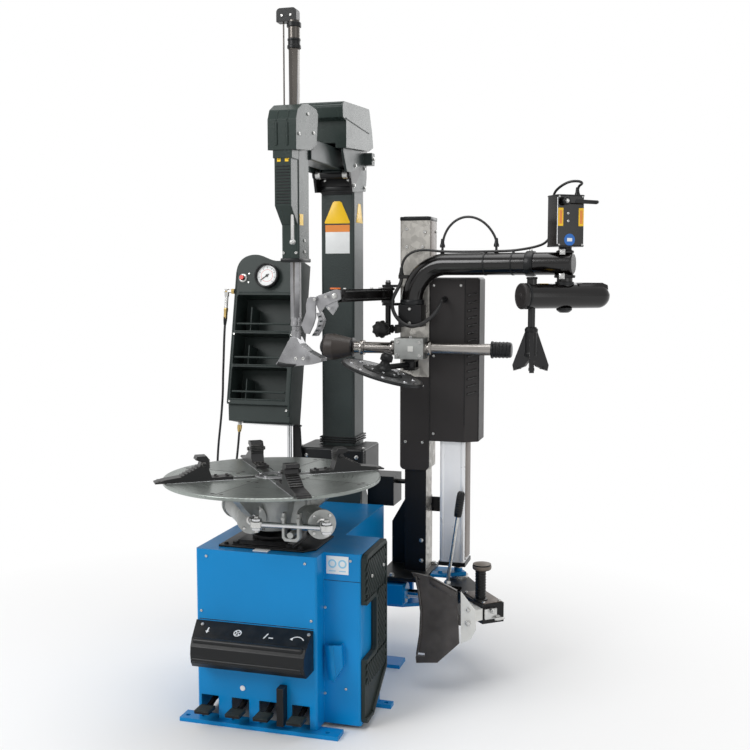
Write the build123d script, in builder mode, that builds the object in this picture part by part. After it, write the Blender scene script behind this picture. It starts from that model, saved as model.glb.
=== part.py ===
from build123d import *
import math
import os

os.makedirs("parts", exist_ok=True)

# A garage tire changer with a tilting column and a pneumatic mounting-assist arm, in millimetres.
# X runs to the right, Y to the rear, Z up. The origin is on the floor at the centre of the anchor holes.

# ---- driving dimensions ----
RUN = 0.05  # radial running clearance of a shaft in its bore
GAP = 0.3  # clearance between sliding faces
BOTTOM = (Align.CENTER, Align.CENTER, Align.MIN)

# cabinet
CAB_W = 368.0
CAB_FRONT = -290.0
CAB_DEPTH = 695.0
CAB_TOP = 512.0
SHEET = 3.0
FLARE_X = 294.0
FLARE_FRONT = -228.0
FLARE_BACK = -26.0
PLATE_T = 12.0
ANCHOR_X = 215.0
ANCHOR_Y = 290.0
ANCHOR_HOLE = 14.0
PAD_T = 18.0
POCKET_D = 20.0

# pedals
PEDAL_X = (-145.0, -50.0, 35.0, 135.0)
PEDAL_W = 44.0
PEDAL_SHAFT_Y = -110.0
PEDAL_SHAFT_Z = 92.0
PEDAL_SHAFT_R = 8.0
NOTCH_TOP = 80.0

# turntable
TABLE_Y = -152.0
TABLE_R = 317.5
TABLE_TOP = 708.0
TABLE_T = 11.0
TABLE_BORE = 20.0
JAW_ANGLE = 36.0
JAW_W = 40.0
SLOT_W = 22.0
SPINDLE_R = 30.0
FLANGE_TOP = 530.0
CYL_R = 36.0
CYL_Z = 600.0

# column
COL_X = -5.0
COL_W = 120.0
COL_FRONT = 480.0
COL_BOTTOM = 500.0
COL_TOP = 1640.0
TILT_Y = 540.0
TILT_Z = 560.0
TILT_PIN_R = 15.0
COVER_TOP = 700.0
RAM_Y = 640.0
RAM_Z = 372.0
LUG_Y = 650.0
LUG_Z = 700.0

# slide arm and vertical unit
ARM_W = 70.0
ARM_Z0 = 1650.0
ARM_H = 68.0
ARM_REAR = 560.0
UNIT_W = 56.0
UNIT_FRONT = 20.0
UNIT_BACK = 120.0
UNIT_Z0 = 1343.0
UNIT_Z1 = 1765.0
BAR_Y = 68.0
BAR_R = 17.0
BAR_Z0 = 1162.0
BAR_Z1 = 2060.0

# inflation tower
TOWER_LEAN = 12.0
TOWER_W = 229.0
TOWER_D = 120.0
TOWER_X = -235.5
TOWER_Y = 293.0
TOWER_Z = 800.0
GAUGE_R = 42.5

# bead breaker
ARM_PIVOT = (430.0, 480.0)
BREAKER_PIN_R = 14.0
ROD_Y = 330.0
ROD_Z = 235.0
ROD_R = 14.0
BEAM_Z0 = 200.0
BASE_Z = 270.0
BASE_T = 12.0

# assist mast
POST_X = 297.0
POST_W = 74.0
POST_Y0 = 398.0
POST_Y1 = 482.0
POST_TOP = 1150.0
MAST_W = 100.0
MAST_FRONT = 385.0
MAST_Z0 = 650.0
MAST_Z1 = 1483.0
MAST_COVER_Y = 380.0
LIFT_X = 423.0
LIFT_Y = 450.0
LIFT_W = 86.0
LIFT_BORE = 32.0

# assist arms
NECK_Y = 345.0
NECK_Z = 1210.0
TUBE_R = 35.0
NECK_BEND = 120.0
ARM_END = (824.0, 262.0)
ELBOW = (797.0, 266.5)
BOX_C = (797.0, 266.0)
BOX_Z = 1380.0
BOX_W = 90.0
BOX_D = 64.0
BOX_H = 156.0
BOX_TURN = 34.0
SECOND_Z = 1231.0
SECOND_R = 38.0
ROLLER_BAR_Z = 1056.0
ROLLER_BAR_R = 19.0
DISC_C = (232.0, 215.0)
DISC_R = 135.0
DISC_Z = 985.0
DISC_TILT = 17.0
DISC_PIVOT = (290.0, 350.0)
DISC_ARM_Z = 1002.0
KNOB_X = 201.0
HOLDER_PIVOT = (215.0, 345.0)
HOLDER_TIP = (150.0, 0.0)
HOLDER_Z = 1233.0

CAB_X = CAB_W / 2
CAB_BACK = CAB_FRONT + CAB_DEPTH
TABLE_C = (0.0, TABLE_Y)
COL_BACK = COL_FRONT + COL_W


def block(x0, x1, y0, y1, z0, z1, mode=Mode.ADD):
    """A box between two corners."""
    with Locations(((x0 + x1) / 2, (y0 + y1) / 2, (z0 + z1) / 2)):
        return Box(x1 - x0, y1 - y0, z1 - z0, mode=mode)


def rod(start, direction, radius, length, mode=Mode.ADD):
    """A cylinder that starts at a point and runs along a direction."""
    with Locations(Plane(origin=start, z_dir=direction)):
        return Cylinder(radius, length, align=BOTTOM, mode=mode)


def profile(plane, points, depth, mode=Mode.ADD):
    """A closed straight-sided outline on a plane, extruded by a depth."""
    with BuildSketch(plane) as outline:
        with BuildLine():
            Polyline(*points, close=True)
        make_face()
    extrude(outline.sketch, amount=depth, mode=mode)


def save(builder, name):
    """Label a finished piece and write it out."""
    builder.part.label = name
    export_step(builder.part, f"parts/{name}.step")


def radial_plane(centre, height, angle):
    """An upright plane whose x runs along a plan angle and whose y runs up."""
    x_dir = Vector(1, 0, 0).rotate(Axis.Z, angle)
    return Plane(origin=(*centre, height), x_dir=x_dir, z_dir=Vector(0, -1, 0).rotate(Axis.Z, angle))


def polar(centre, angle, along, across=0.0):
    """A plan point at a distance along and across a direction."""
    a = math.radians(angle)
    x = centre[0] + along * math.cos(a) - across * math.sin(a)
    y = centre[1] + along * math.sin(a) + across * math.cos(a)
    return (x, y)


# ======== cabinet ========
with BuildPart() as cabinet_shell:
    block(-CAB_X, CAB_X, CAB_FRONT, CAB_BACK, PLATE_T, CAB_TOP)
    front_edges = cabinet_shell.edges().filter_by(Axis.Z).group_by(Axis.Y)[0]
    fillet(front_edges, 8)
    block(CAB_X - 20, FLARE_X, FLARE_FRONT, FLARE_BACK, PLATE_T, CAB_TOP)
    flare_edges = cabinet_shell.edges().filter_by(Axis.Z).sort_by(Axis.X)[-2:]
    fillet(flare_edges, 8)
    block(-CAB_X + SHEET, CAB_X - SHEET, CAB_FRONT + SHEET, CAB_BACK + 1, 0, CAB_TOP - SHEET, Mode.SUBTRACT)
    inside_back = FLARE_BACK - SHEET
    block(CAB_X - 30, FLARE_X - SHEET, FLARE_FRONT + SHEET, inside_back, 0, CAB_TOP - SHEET, Mode.SUBTRACT)
    for x in PEDAL_X:
        block(x - 27, x + 27, CAB_FRONT - 1, CAB_FRONT + SHEET + 1, 0, NOTCH_TOP, Mode.SUBTRACT)
    # opening in the top for the gearbox and in the side for the breaker rod
    block(-82, 82, TABLE_Y - 82, TABLE_Y + 82, CAB_TOP - 10, CAB_TOP + 1, Mode.SUBTRACT)
    rod((CAB_X - 10, ROD_Y, ROD_Z), (1, 0, 0), ROD_R + 6, 20, Mode.SUBTRACT)
    # tool pocket on the flare front, open above
    pocket = ((193, 247), (243, 251), (246, 188), (219, 142), (204, 150))
    profile(Plane.XZ.offset(-FLARE_FRONT), pocket, POCKET_D)
    inner = ((197, 260), (239, 260), (242, 190), (218, 149), (208, 154))
    profile(Plane.XZ.offset(-FLARE_FRONT), inner, POCKET_D - SHEET, Mode.SUBTRACT)
save(cabinet_shell, "cabinet_shell")

with BuildPart() as rear_panel:
    block(-CAB_X + SHEET, CAB_X - SHEET, CAB_BACK - SHEET, CAB_BACK, PLATE_T, CAB_TOP - SHEET)
    with BuildSketch(Plane(origin=(0, CAB_BACK + 1, 180), x_dir=(1, 0, 0), z_dir=(0, -1, 0))):
        with GridLocations(60, 18, 4, 5):
            SlotOverall(40, 6)
    extrude(amount=SHEET + 2, mode=Mode.SUBTRACT)
save(rear_panel, "rear_panel")

with BuildPart() as foot_plates:
    block(-233, 252, -ANCHOR_Y - 22, -ANCHOR_Y + 32, 0, PLATE_T)
    block(-245, 281, ANCHOR_Y - 38, ANCHOR_Y + 38, 0, PLATE_T)
    block(250, 337, -62, -30, 0, PLATE_T)
    with Locations((0, 0, PLATE_T)):
        with GridLocations(2 * ANCHOR_X, 2 * ANCHOR_Y, 2, 2):
            Hole(ANCHOR_HOLE / 2, PLATE_T)
    rod((318, -46, 0), (0, 0, 1), ANCHOR_HOLE / 2, PLATE_T, Mode.SUBTRACT)
save(foot_plates, "foot_plates")

# moulded bumper over the pedals, open below
with BuildPart() as pedal_cover:
    lip = [
        (CAB_FRONT, 302), (-352, 268), (-368, 250), (-372, 228), (-366, 203), (-350, 186),
        (CAB_FRONT, 186),
    ]
    profile(Plane.YZ.offset(-CAB_X), lip, CAB_W - 10)
    rounds = pedal_cover.edges().filter_by(Axis.X).group_by(Axis.Y)[:3]
    for group in rounds:
        fillet(group, 6)
    taper = [(-CAB_X - 1, CAB_FRONT), (-CAB_X - 1, -380), (-CAB_X + 20, -380), (-CAB_X, CAB_FRONT)]
    profile(Plane.XY.offset(180), taper, 130, Mode.SUBTRACT)
    cave = [
        (CAB_FRONT - 5, 293), (-348, 262), (-362, 246), (-366, 228), (-360, 207), (-346, 180),
        (CAB_FRONT - 5, 180),
    ]
    profile(Plane.YZ.offset(-CAB_X + 22), cave, CAB_W - 37, Mode.SUBTRACT)
save(pedal_cover, "pedal_cover")

# four pedals on one shaft: lever, boss and a ribbed pad
for number, x in enumerate(PEDAL_X, 1):
    with BuildPart() as pedal:
        rod((x - 12, PEDAL_SHAFT_Y, PEDAL_SHAFT_Z), (1, 0, 0), 15, 24)
        lever = [
            (PEDAL_SHAFT_Y, 104), (-150, 104), (-285, 58), (-304, 55), (-304, 44), (-285, 44),
            (-150, 84), (PEDAL_SHAFT_Y, 80),
        ]
        profile(Plane.YZ.offset(x - 5), lever, 10)
        block(x - PEDAL_W / 2, x + PEDAL_W / 2, -350, -303, 46, 53)
        for y in (-346, -336, -326, -316):
            block(x - PEDAL_W / 2 + 3, x + PEDAL_W / 2 - 3, y - 2, y + 2, 52, 55.5)
        rod((x - 13, PEDAL_SHAFT_Y, PEDAL_SHAFT_Z), (1, 0, 0), PEDAL_SHAFT_R + RUN, 26, Mode.SUBTRACT)
    save(pedal, f"pedal_{number}")

with BuildPart() as pedal_frame:
    length = CAB_W - 2 * SHEET
    rod((-length / 2, PEDAL_SHAFT_Y, PEDAL_SHAFT_Z), (1, 0, 0), PEDAL_SHAFT_R, length)
    for x in (-165, 85, 165):
        block(x - 3, x + 3, -130, -90, 70, 118)
    block(74, 94, CAB_FRONT - 32, CAB_FRONT, 26, 136)
save(pedal_frame, "pedal_frame")

# rubber pad that the wheel leans on, with its cut-out
with BuildPart() as breaker_pad:
    block(FLARE_X, FLARE_X + PAD_T, FLARE_FRONT + 2, -12, 20, CAB_TOP - 2)
    block(FLARE_X - 1, FLARE_X + PAD_T + 1, FLARE_FRONT, -126, 207, 366, Mode.SUBTRACT)
    corner = [(-170, 10), (-5, 118), (-5, 10)]
    profile(Plane.YZ.offset(FLARE_X - 1), corner, PAD_T + 2, Mode.SUBTRACT)
    fillet(breaker_pad.edges().filter_by(Axis.X), 5)
save(breaker_pad, "breaker_pad")

# ======== table drive ========
with BuildPart() as gearbox_housing:
    block(-95, 95, TABLE_Y - 95, TABLE_Y + 95, CAB_TOP, CAB_TOP + 8)
    block(-78, 78, TABLE_Y - 78, TABLE_Y + 78, 336, CAB_TOP)
    with BuildSketch(Plane.XY.offset(CAB_TOP + 8)):
        with Locations(TABLE_C):
            Rectangle(170, 170)
    extrude(amount=FLANGE_TOP - CAB_TOP - 8, taper=40)
    fillet(gearbox_housing.edges().filter_by(Axis.Z), 12)
    with Locations((0, TABLE_Y, CAB_TOP + 8)):
        with GridLocations(164, 164, 2, 2):
            with Locations((0, 0, 0)):
                Cylinder(9, 7, align=BOTTOM)
    rod((0, TABLE_Y, 360), (0, 0, 1), SPINDLE_R + RUN, 200, Mode.SUBTRACT)
save(gearbox_housing, "gearbox_housing")

with BuildPart() as drive_motor:
    rod((0, TABLE_Y + 78, 420), (0, 1, 0), 70, 14)
    rod((0, TABLE_Y + 92, 420), (0, 1, 0), 62, 190)
    rod((0, TABLE_Y + 282, 420), (0, 1, 0), 66, 40)
    block(-30, 30, TABLE_Y + 150, TABLE_Y + 240, 470, 500)
save(drive_motor, "drive_motor")

# ======== turntable ========
SLOT_IN = 60.0
SLOT_OUT = 300.0
with BuildPart() as turntable_disc:
    with Locations((0, TABLE_Y, TABLE_TOP - TABLE_T)):
        Cylinder(TABLE_R, TABLE_T, align=BOTTOM)
    fillet(turntable_disc.edges().filter_by(GeomType.CIRCLE), 3)
    with Locations((0, TABLE_Y, TABLE_TOP - TABLE_T)):
        Cylinder(TABLE_BORE, TABLE_T, align=BOTTOM, mode=Mode.SUBTRACT)
    with BuildSketch(Plane.XY.offset(TABLE_TOP - TABLE_T)):
        with Locations(TABLE_C):
            with PolarLocations(0, 4, start_angle=JAW_ANGLE):
                with Locations(((SLOT_IN + SLOT_OUT) / 2, 0)):
                    SlotOverall(SLOT_OUT - SLOT_IN, SLOT_W)
    extrude(amount=TABLE_T, mode=Mode.SUBTRACT)
save(turntable_disc, "turntable_disc")

# spindle, cast arms, the two clamp cylinders and the linkage bracket turn with the disc
CYL_DIR = JAW_ANGLE - 90
CYL_A = (-80.0, -150.0, 75.0)
CYL_B = (90.0, -25.0, 200.0)
ARM_TOP = TABLE_TOP - TABLE_T
with BuildPart() as table_hub:
    rod((0, TABLE_Y, 370), (0, 0, 1), SPINDLE_R, 190)
    with BuildSketch(Plane.XY.offset(556)):
        with Locations(TABLE_C):
            Circle(62)
    with BuildSketch(Plane.XY.offset(ARM_TOP)):
        with Locations(TABLE_C):
            Circle(96)
    loft()
    for turn in range(4):
        angle = JAW_ANGLE + 45 + 90 * turn
        web = [(40, 562), (70, 562), (215, ARM_TOP - 14), (215, ARM_TOP), (40, ARM_TOP)]
        profile(radial_plane(TABLE_C, 0, angle).offset(-11), web, 22)
    for across, start, end in (CYL_A, CYL_B):
        for a, b, r in ((start, end, CYL_R), (start, start + 12, CYL_R + 6), (end - 12, end, CYL_R + 6)):
            x, y = polar(TABLE_C, CYL_DIR, a, across)
            rod((x, y, CYL_Z), Vector(1, 0, 0).rotate(Axis.Z, CYL_DIR), r, b - a)
    for across, start, end in (CYL_A, CYL_B):
        x, y = polar(TABLE_C, CYL_DIR, start - 1, across)
        middle = (start + end) / 2
        rod((x, y, CYL_Z), Vector(1, 0, 0).rotate(Axis.Z, CYL_DIR), 10 + RUN, end - start + 2, Mode.SUBTRACT)
        x, y = polar(TABLE_C, CYL_DIR, end + 0.5, across)
        rod((x, y, CYL_Z), Vector(1, 0, 0).rotate(Axis.Z, CYL_DIR), 18, 90, Mode.SUBTRACT)
        mx, my = polar(TABLE_C, CYL_DIR, middle, across)
        rod((mx, my, CYL_Z + CYL_R - 6), (0, 0, 1), 16, ARM_TOP - CYL_Z - CYL_R + 6)
    rod((0, TABLE_Y, 560), (0, 0, 1), TABLE_BORE, 200, Mode.SUBTRACT)
save(table_hub, "table_hub")

# piston rods with the tube that ties them together
ROD_A_OUT = 60.0
ROD_B_OUT = 44.0
with BuildPart() as clamp_rods:
    for (across, start, end), tip in ((CYL_A, CYL_A[2] + ROD_A_OUT), (CYL_B, CYL_B[2] + ROD_B_OUT)):
        x, y = polar(TABLE_C, CYL_DIR, start + 20, across)
        rod((x, y, CYL_Z), Vector(1, 0, 0).rotate(Axis.Z, CYL_DIR), 10, tip - start - 20)
    ax, ay = polar(TABLE_C, CYL_DIR, CYL_A[2] + ROD_A_OUT, CYL_A[0])
    bx, by = polar(TABLE_C, CYL_DIR, CYL_B[2] + ROD_B_OUT, CYL_B[0])
    tie = Vector(bx - ax, by - ay, 0)
    rod((ax, ay, CYL_Z), tie, 8, tie.length)
    for x, y in ((ax, ay), (bx, by)):
        rod((x, y, CYL_Z - 16), (0, 0, 1), 14, 32)
save(clamp_rods, "clamp_rods")

# clamping jaws: a slider in its slot, a stepped claw and a hooked outer end
for number in range(4):
    angle = JAW_ANGLE + 90 * number
    radial = radial_plane(TABLE_C, 0, angle)
    base = TABLE_TOP + GAP
    with BuildPart() as jaw:
        claw = [
            (120, base), (120, base + 9), (182, base + 9), (190, 742), (190, 772), (196, 780), (224, 780),
            (228, 770), (212, 764), (216, 752), (270, 724), (318, 718), (343, 712), (343, base),
        ]
        profile(radial.offset(-JAW_W / 2), claw, JAW_W)
        low = TABLE_TOP - TABLE_T + 1
        keel = [(130, low), (130, base + 1), (240, base + 1), (240, low)]
        profile(radial.offset(-SLOT_W / 2 + GAP), keel, SLOT_W - 2 * GAP)
    save(jaw, f"jaw_{number + 1}")

# the tower leans back: its floor plane and its front plane
tower_plane = Plane(
    origin=(TOWER_X, TOWER_Y, TOWER_Z),
    x_dir=(1, 0, 0),
    z_dir=(0, math.sin(math.radians(TOWER_LEAN)), math.cos(math.radians(TOWER_LEAN))),
)
tower_face = Plane(origin=tower_plane.origin, x_dir=(1, 0, 0), z_dir=-tower_plane.y_dir)

# ======== column ========
PLATE_IN_L = COL_X - COL_W / 2 - 1
PLATE_IN_R = COL_X + COL_W / 2 + 1
with BuildPart() as column_bracket:
    block(-110, 100, CAB_BACK, CAB_BACK + 20, 330, COVER_TOP - 112)
    block(-110, 100, CAB_BACK + 4, CAB_BACK + 20, COVER_TOP - 112, 688)
    for x0 in (PLATE_IN_L - 12, PLATE_IN_R):
        cheek = [
            (CAB_BACK + 18, 330), (RAM_Y + 30, 330), (RAM_Y + 30, 400), (585, 520), (585, 600),
            (CAB_BACK + 18, 640),
        ]
        profile(Plane.YZ.offset(x0), cheek, 12)
    block(PLATE_IN_L - 12, PLATE_IN_R + 12, CAB_BACK + 18, RAM_Y + 30, 318, 330)
    rod((PLATE_IN_L - 18, TILT_Y, TILT_Z), (1, 0, 0), TILT_PIN_R, COL_W + 38)
    # clevis of the tilt cylinder
    for x0 in (COL_X - 30, COL_X + 20):
        block(x0, x0 + 10, RAM_Y - 22, RAM_Y + 22, 329, RAM_Z + 18)
    rod((COL_X - 30, RAM_Y, RAM_Z), (1, 0, 0), 8, 60)
    # leg, post and tray that carry the inflation tower
    block(-176, -96, 330, 398, CAB_TOP, CAB_TOP + 6)
    rod((-146, 372, CAB_TOP + 5), (0, 0, 1), 8, 262)
    profile(Plane.XZ.offset(-384), [(-138, CAB_TOP + 5), (-98, CAB_TOP + 5), (-112, 776), (-138, 776)], -8)
    with BuildSketch(tower_plane) as tray:
        with Locations((32, 68)):
            Rectangle(188, 76)
    extrude(tray.sketch, amount=-6)
save(column_bracket, "column_bracket")

# moulded housing round the foot of the column, open below and behind the column
with BuildPart() as base_cover:
    block(-130, 116, CAB_BACK, 590, COVER_TOP - 110, COVER_TOP)
    fillet(base_cover.edges().filter_by(Axis.Z), 14)
    fillet(base_cover.faces().sort_by(Axis.Z)[-1].edges(), 8)
    block(-126, 112, CAB_BACK + 4, 586, COVER_TOP - 112, COVER_TOP - 4, Mode.SUBTRACT)
    block(PLATE_IN_L - 8, PLATE_IN_R + 8, COL_FRONT - 10, 600, COVER_TOP - 120, COVER_TOP + 1, Mode.SUBTRACT)
    block(112, 206, 452, 560, 500, 602)
    block(118, 202, 456, 556, 499, 598, Mode.SUBTRACT)
save(base_cover, "base_cover")

with BuildPart() as tilt_cylinder:
    ram_dir = Vector(0, LUG_Y - RAM_Y, LUG_Z - RAM_Z).normalized()
    ram_base = Vector(COL_X, RAM_Y, RAM_Z)
    rod((COL_X - 19, RAM_Y, RAM_Z), (1, 0, 0), 16, 38)
    rod(ram_base, ram_dir, 12, 40)
    rod(ram_base + ram_dir * 30, ram_dir, 24, 200)
    rod((COL_X - 20, RAM_Y, RAM_Z), (1, 0, 0), 8 + RUN, 40, Mode.SUBTRACT)
    rod(ram_base + ram_dir * 60, ram_dir, 8 + RUN, 180, Mode.SUBTRACT)
save(tilt_cylinder, "tilt_cylinder")

with BuildPart() as tilt_rod:
    ram_len = Vector(0, LUG_Y - RAM_Y, LUG_Z - RAM_Z).length
    rod(ram_base + ram_dir * 180, ram_dir, 8, ram_len - 180)
    rod((COL_X - 10, LUG_Y, LUG_Z), (1, 0, 0), 17, 20)
    rod((COL_X - 11, LUG_Y, LUG_Z), (1, 0, 0), 8 + 3.5, 22, Mode.SUBTRACT)
save(tilt_rod, "tilt_rod")

HEAD_L = COL_X - COL_W / 2 - 8
HEAD_R = COL_X + COL_W / 2 + 8
ARM_X0 = COL_X - ARM_W / 2
ARM_X1 = COL_X + ARM_W / 2
with BuildPart() as column:
    x0 = COL_X - COL_W / 2
    x1 = COL_X + COL_W / 2
    block(x0, x1, COL_FRONT, COL_BACK, COL_BOTTOM, COL_TOP)
    fillet(column.edges().filter_by(Axis.Z), 10)
    block(x0 + 5, x1 - 5, COL_FRONT + 5, COL_BACK - 5, COL_BOTTOM - 1, COL_TOP - 6, Mode.SUBTRACT)
    rod((x0 + 1, TILT_Y, TILT_Z), (1, 0, 0), TILT_PIN_R + 8, COL_W - 2)
    rod((x0 - 1, TILT_Y, TILT_Z), (1, 0, 0), TILT_PIN_R + RUN, COL_W + 2, Mode.SUBTRACT)
    # lug for the tilt cylinder
    for x in (COL_X - 24, COL_X + 14):
        block(x, x + 10, COL_BACK - 1, LUG_Y + 18, LUG_Z - 24, LUG_Z + 24)
    rod((COL_X - 24, LUG_Y, LUG_Z), (1, 0, 0), 8, 48)
    # head: cheek plates, pads under and over the slide arm, front collar and guide roller
    cheek = [
        (419, 1640), (441, 1577), (594, 1590), (608, 1640), (608, 1790), (340, 1790), (340, 1700),
        (380, 1640),
    ]
    profile(Plane.YZ.offset(HEAD_L), cheek, 8)
    profile(Plane.YZ.offset(HEAD_R - 8), cheek, 8)
    block(ARM_X0 - 6, ARM_X1 + 6, COL_FRONT, COL_BACK, COL_TOP - 1, ARM_Z0 - GAP)
    block(HEAD_L + 1, HEAD_R - 1, 440, 620, ARM_Z0 + ARM_H + GAP, ARM_Z0 + ARM_H + 22)
    block(x0 + 1, x1 - 1, COL_FRONT - 8, COL_FRONT + 1, 1582, COL_TOP)
    rod((HEAD_L + 1, 425, ARM_Z0 - GAP - 14), (1, 0, 0), 14, HEAD_R - HEAD_L - 2)
    block(HEAD_R - 1, HEAD_R + 30, 572, 607, 1680, 1722)
    for y in (400, 600):
        rod((HEAD_L - 8, y, 1760), (1, 0, 0), 12, HEAD_R - HEAD_L + 16)
save(column, "column")

# moulded hood over the column head, open below
with BuildPart() as head_cover:
    side = [
        (300, 1806), (334, 1800), (334, 1712), (598, 1730), (650, 1748), (636, 1800), (600, 1876),
        (310, 1858), (296, 1842),
    ]
    profile(Plane.YZ.offset(HEAD_L - 12), side, HEAD_R - HEAD_L + 24)
    fillet(head_cover.edges().filter_by(Axis.X).sort_by(Axis.Z)[-3:], 12)
    cave = [
        (304, 1810), (338, 1800), (338, 1700), (646, 1700), (646, 1748), (632, 1798), (597, 1872),
        (313, 1854), (300, 1840),
    ]
    profile(Plane.YZ.offset(HEAD_L - 8), cave, HEAD_R - HEAD_L + 16, Mode.SUBTRACT)
    block(ARM_X0 - 8, ARM_X1 + 8, 290, 345, 1600, ARM_Z0 + ARM_H + 10, Mode.SUBTRACT)
save(head_cover, "head_cover")

# ======== slide arm and vertical unit ========
with BuildPart() as slide_arm:
    block(ARM_X0, ARM_X1, UNIT_BACK, ARM_REAR, ARM_Z0, ARM_Z0 + ARM_H)
    fillet(slide_arm.edges().filter_by(Axis.Y), 5)
    block(ARM_X0 + 5, ARM_X1 - 5, UNIT_BACK + 12, ARM_REAR + 1, ARM_Z0 + 5, ARM_Z0 + ARM_H - 5, Mode.SUBTRACT)
save(slide_arm, "slide_arm")


def bar_section(radius):
    """Hexagonal section of the vertical bar."""
    with Locations((COL_X, BAR_Y)):
        RegularPolygon(radius, 6, rotation=30)


with BuildPart() as unit_housing:
    block(COL_X - UNIT_W / 2, COL_X + UNIT_W / 2, UNIT_FRONT, UNIT_BACK, UNIT_Z0, UNIT_Z1)
    fillet(unit_housing.edges().filter_by(Axis.Z), 9)
    with BuildSketch(Plane.XY.offset(UNIT_Z0)) as bore:
        bar_section(BAR_R + GAP)
    extrude(amount=UNIT_Z1 - UNIT_Z0, mode=Mode.SUBTRACT)
save(unit_housing, "unit_housing")

# hood and hand grip of the unit
CAP_HALF = 45.0
LOCK_X = 13.0
LOCK_Y = -6.0
with BuildPart() as unit_cap:
    side = [
        (-41, 1663), (-41, 1752), (-26, 1782), (12, 1802), (60, 1811), (140, 1806), (157, 1794),
        (141, 1697), (86, 1675),
    ]
    profile(Plane.YZ.offset(COL_X - CAP_HALF), side, 2 * CAP_HALF)
    fillet(unit_cap.edges().filter_by(Axis.X).sort_by(Axis.Z)[-4:], 6)
    cave = [
        (-37, 1600), (-37, 1750), (-23, 1778), (14, 1798), (60, 1807), (138, 1802), (153, 1791),
        (153, 1600),
    ]
    profile(Plane.YZ.offset(COL_X - CAP_HALF + 4), cave, 2 * CAP_HALF - 8, Mode.SUBTRACT)
    block(ARM_X0 - 2, ARM_X1 + 2, 130, 170, 1600, ARM_Z0 + ARM_H + 2, Mode.SUBTRACT)
    block(COL_X - UNIT_W / 2 + 1, COL_X + UNIT_W / 2 - 1, 30, 110, UNIT_Z1, UNIT_Z1 + 40)
    grip = [(UNIT_FRONT - GAP, 1765), (-36, 1745), (-36, 1500), (UNIT_FRONT - GAP, 1446)]
    profile(Plane.YZ.offset(COL_X - 26), grip, 52)
    block(COL_X - 30, COL_X + 30, -38, UNIT_FRONT - GAP, 1640, 1750)
    rod((LOCK_X, LOCK_Y, 1430), (0, 0, 1), 5, 80, Mode.SUBTRACT)
    with BuildSketch(Plane.XY.offset(UNIT_Z1 - 1)) as bore:
        bar_section(BAR_R + 2)
    extrude(bore.sketch, amount=60, mode=Mode.SUBTRACT)
    rod((-38.5, BAR_Y, 1780), (0, 0, 1), 4, 40, Mode.SUBTRACT)
save(unit_cap, "unit_cap")

with BuildPart() as lock_button:
    rod((LOCK_X, LOCK_Y, 1400), (0, 0, 1), 5 - RUN, 92)
    with Locations((LOCK_X, LOCK_Y, 1394)):
        Sphere(9)
save(lock_button, "lock_button")

# hexagonal bar with its neck below and the lock head above
with BuildPart() as slide_bar:
    with BuildSketch(Plane.XY.offset(BAR_Z0)) as section:
        bar_section(BAR_R)
    extrude(amount=BAR_Z1 - BAR_Z0)
    rod((COL_X, BAR_Y, 1975), (0, 0, 1), 18, BAR_Z1 - 1975)
    rod((COL_X, BAR_Y, 1144), (0, 0, 1), 11.5, BAR_Z0 - 1144)
    rod((COL_X, BAR_Y, 1100), (0, 0, 1), 8.5, 46)
    block(-56, 8, BAR_Y - 16, BAR_Y + 16, 2056, 2096)
    fillet(slide_bar.edges().filter_by(Axis.Y).sort_by(Axis.Z)[-2:], 12)
    rod((-38.5, BAR_Y, 1770), (0, 0, 1), 2.5, 290)
save(slide_bar, "slide_bar")

# crescent tool head that guides the tyre bead
with BuildPart() as mount_head:
    duck = [
        (-61, 1020), (-52, 1034), (-38, 1062), (-24, 1088), (-14, 1104), (5, 1104), (16, 1084),
        (44, 1062), (76, 1048), (94, 1042), (94, 1032), (60, 1022), (0, 1014), (-44, 1012),
    ]
    profile(Plane.XZ.offset(-10), duck, -90)
    with BuildSketch(Plane.XY.offset(1000)) as ring:
        with Locations((COL_X, TABLE_Y)):
            Circle(246)
            Circle(196, mode=Mode.SUBTRACT)
    extrude(ring.sketch, amount=120, mode=Mode.INTERSECT)
    rod((COL_X, BAR_Y, 1085), (0, 0, 1), 15, 30)
    rod((COL_X, BAR_Y, 1099.9), (0, 0, 1), 8.5, 16, Mode.SUBTRACT)
save(mount_head, "mount_head")

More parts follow.
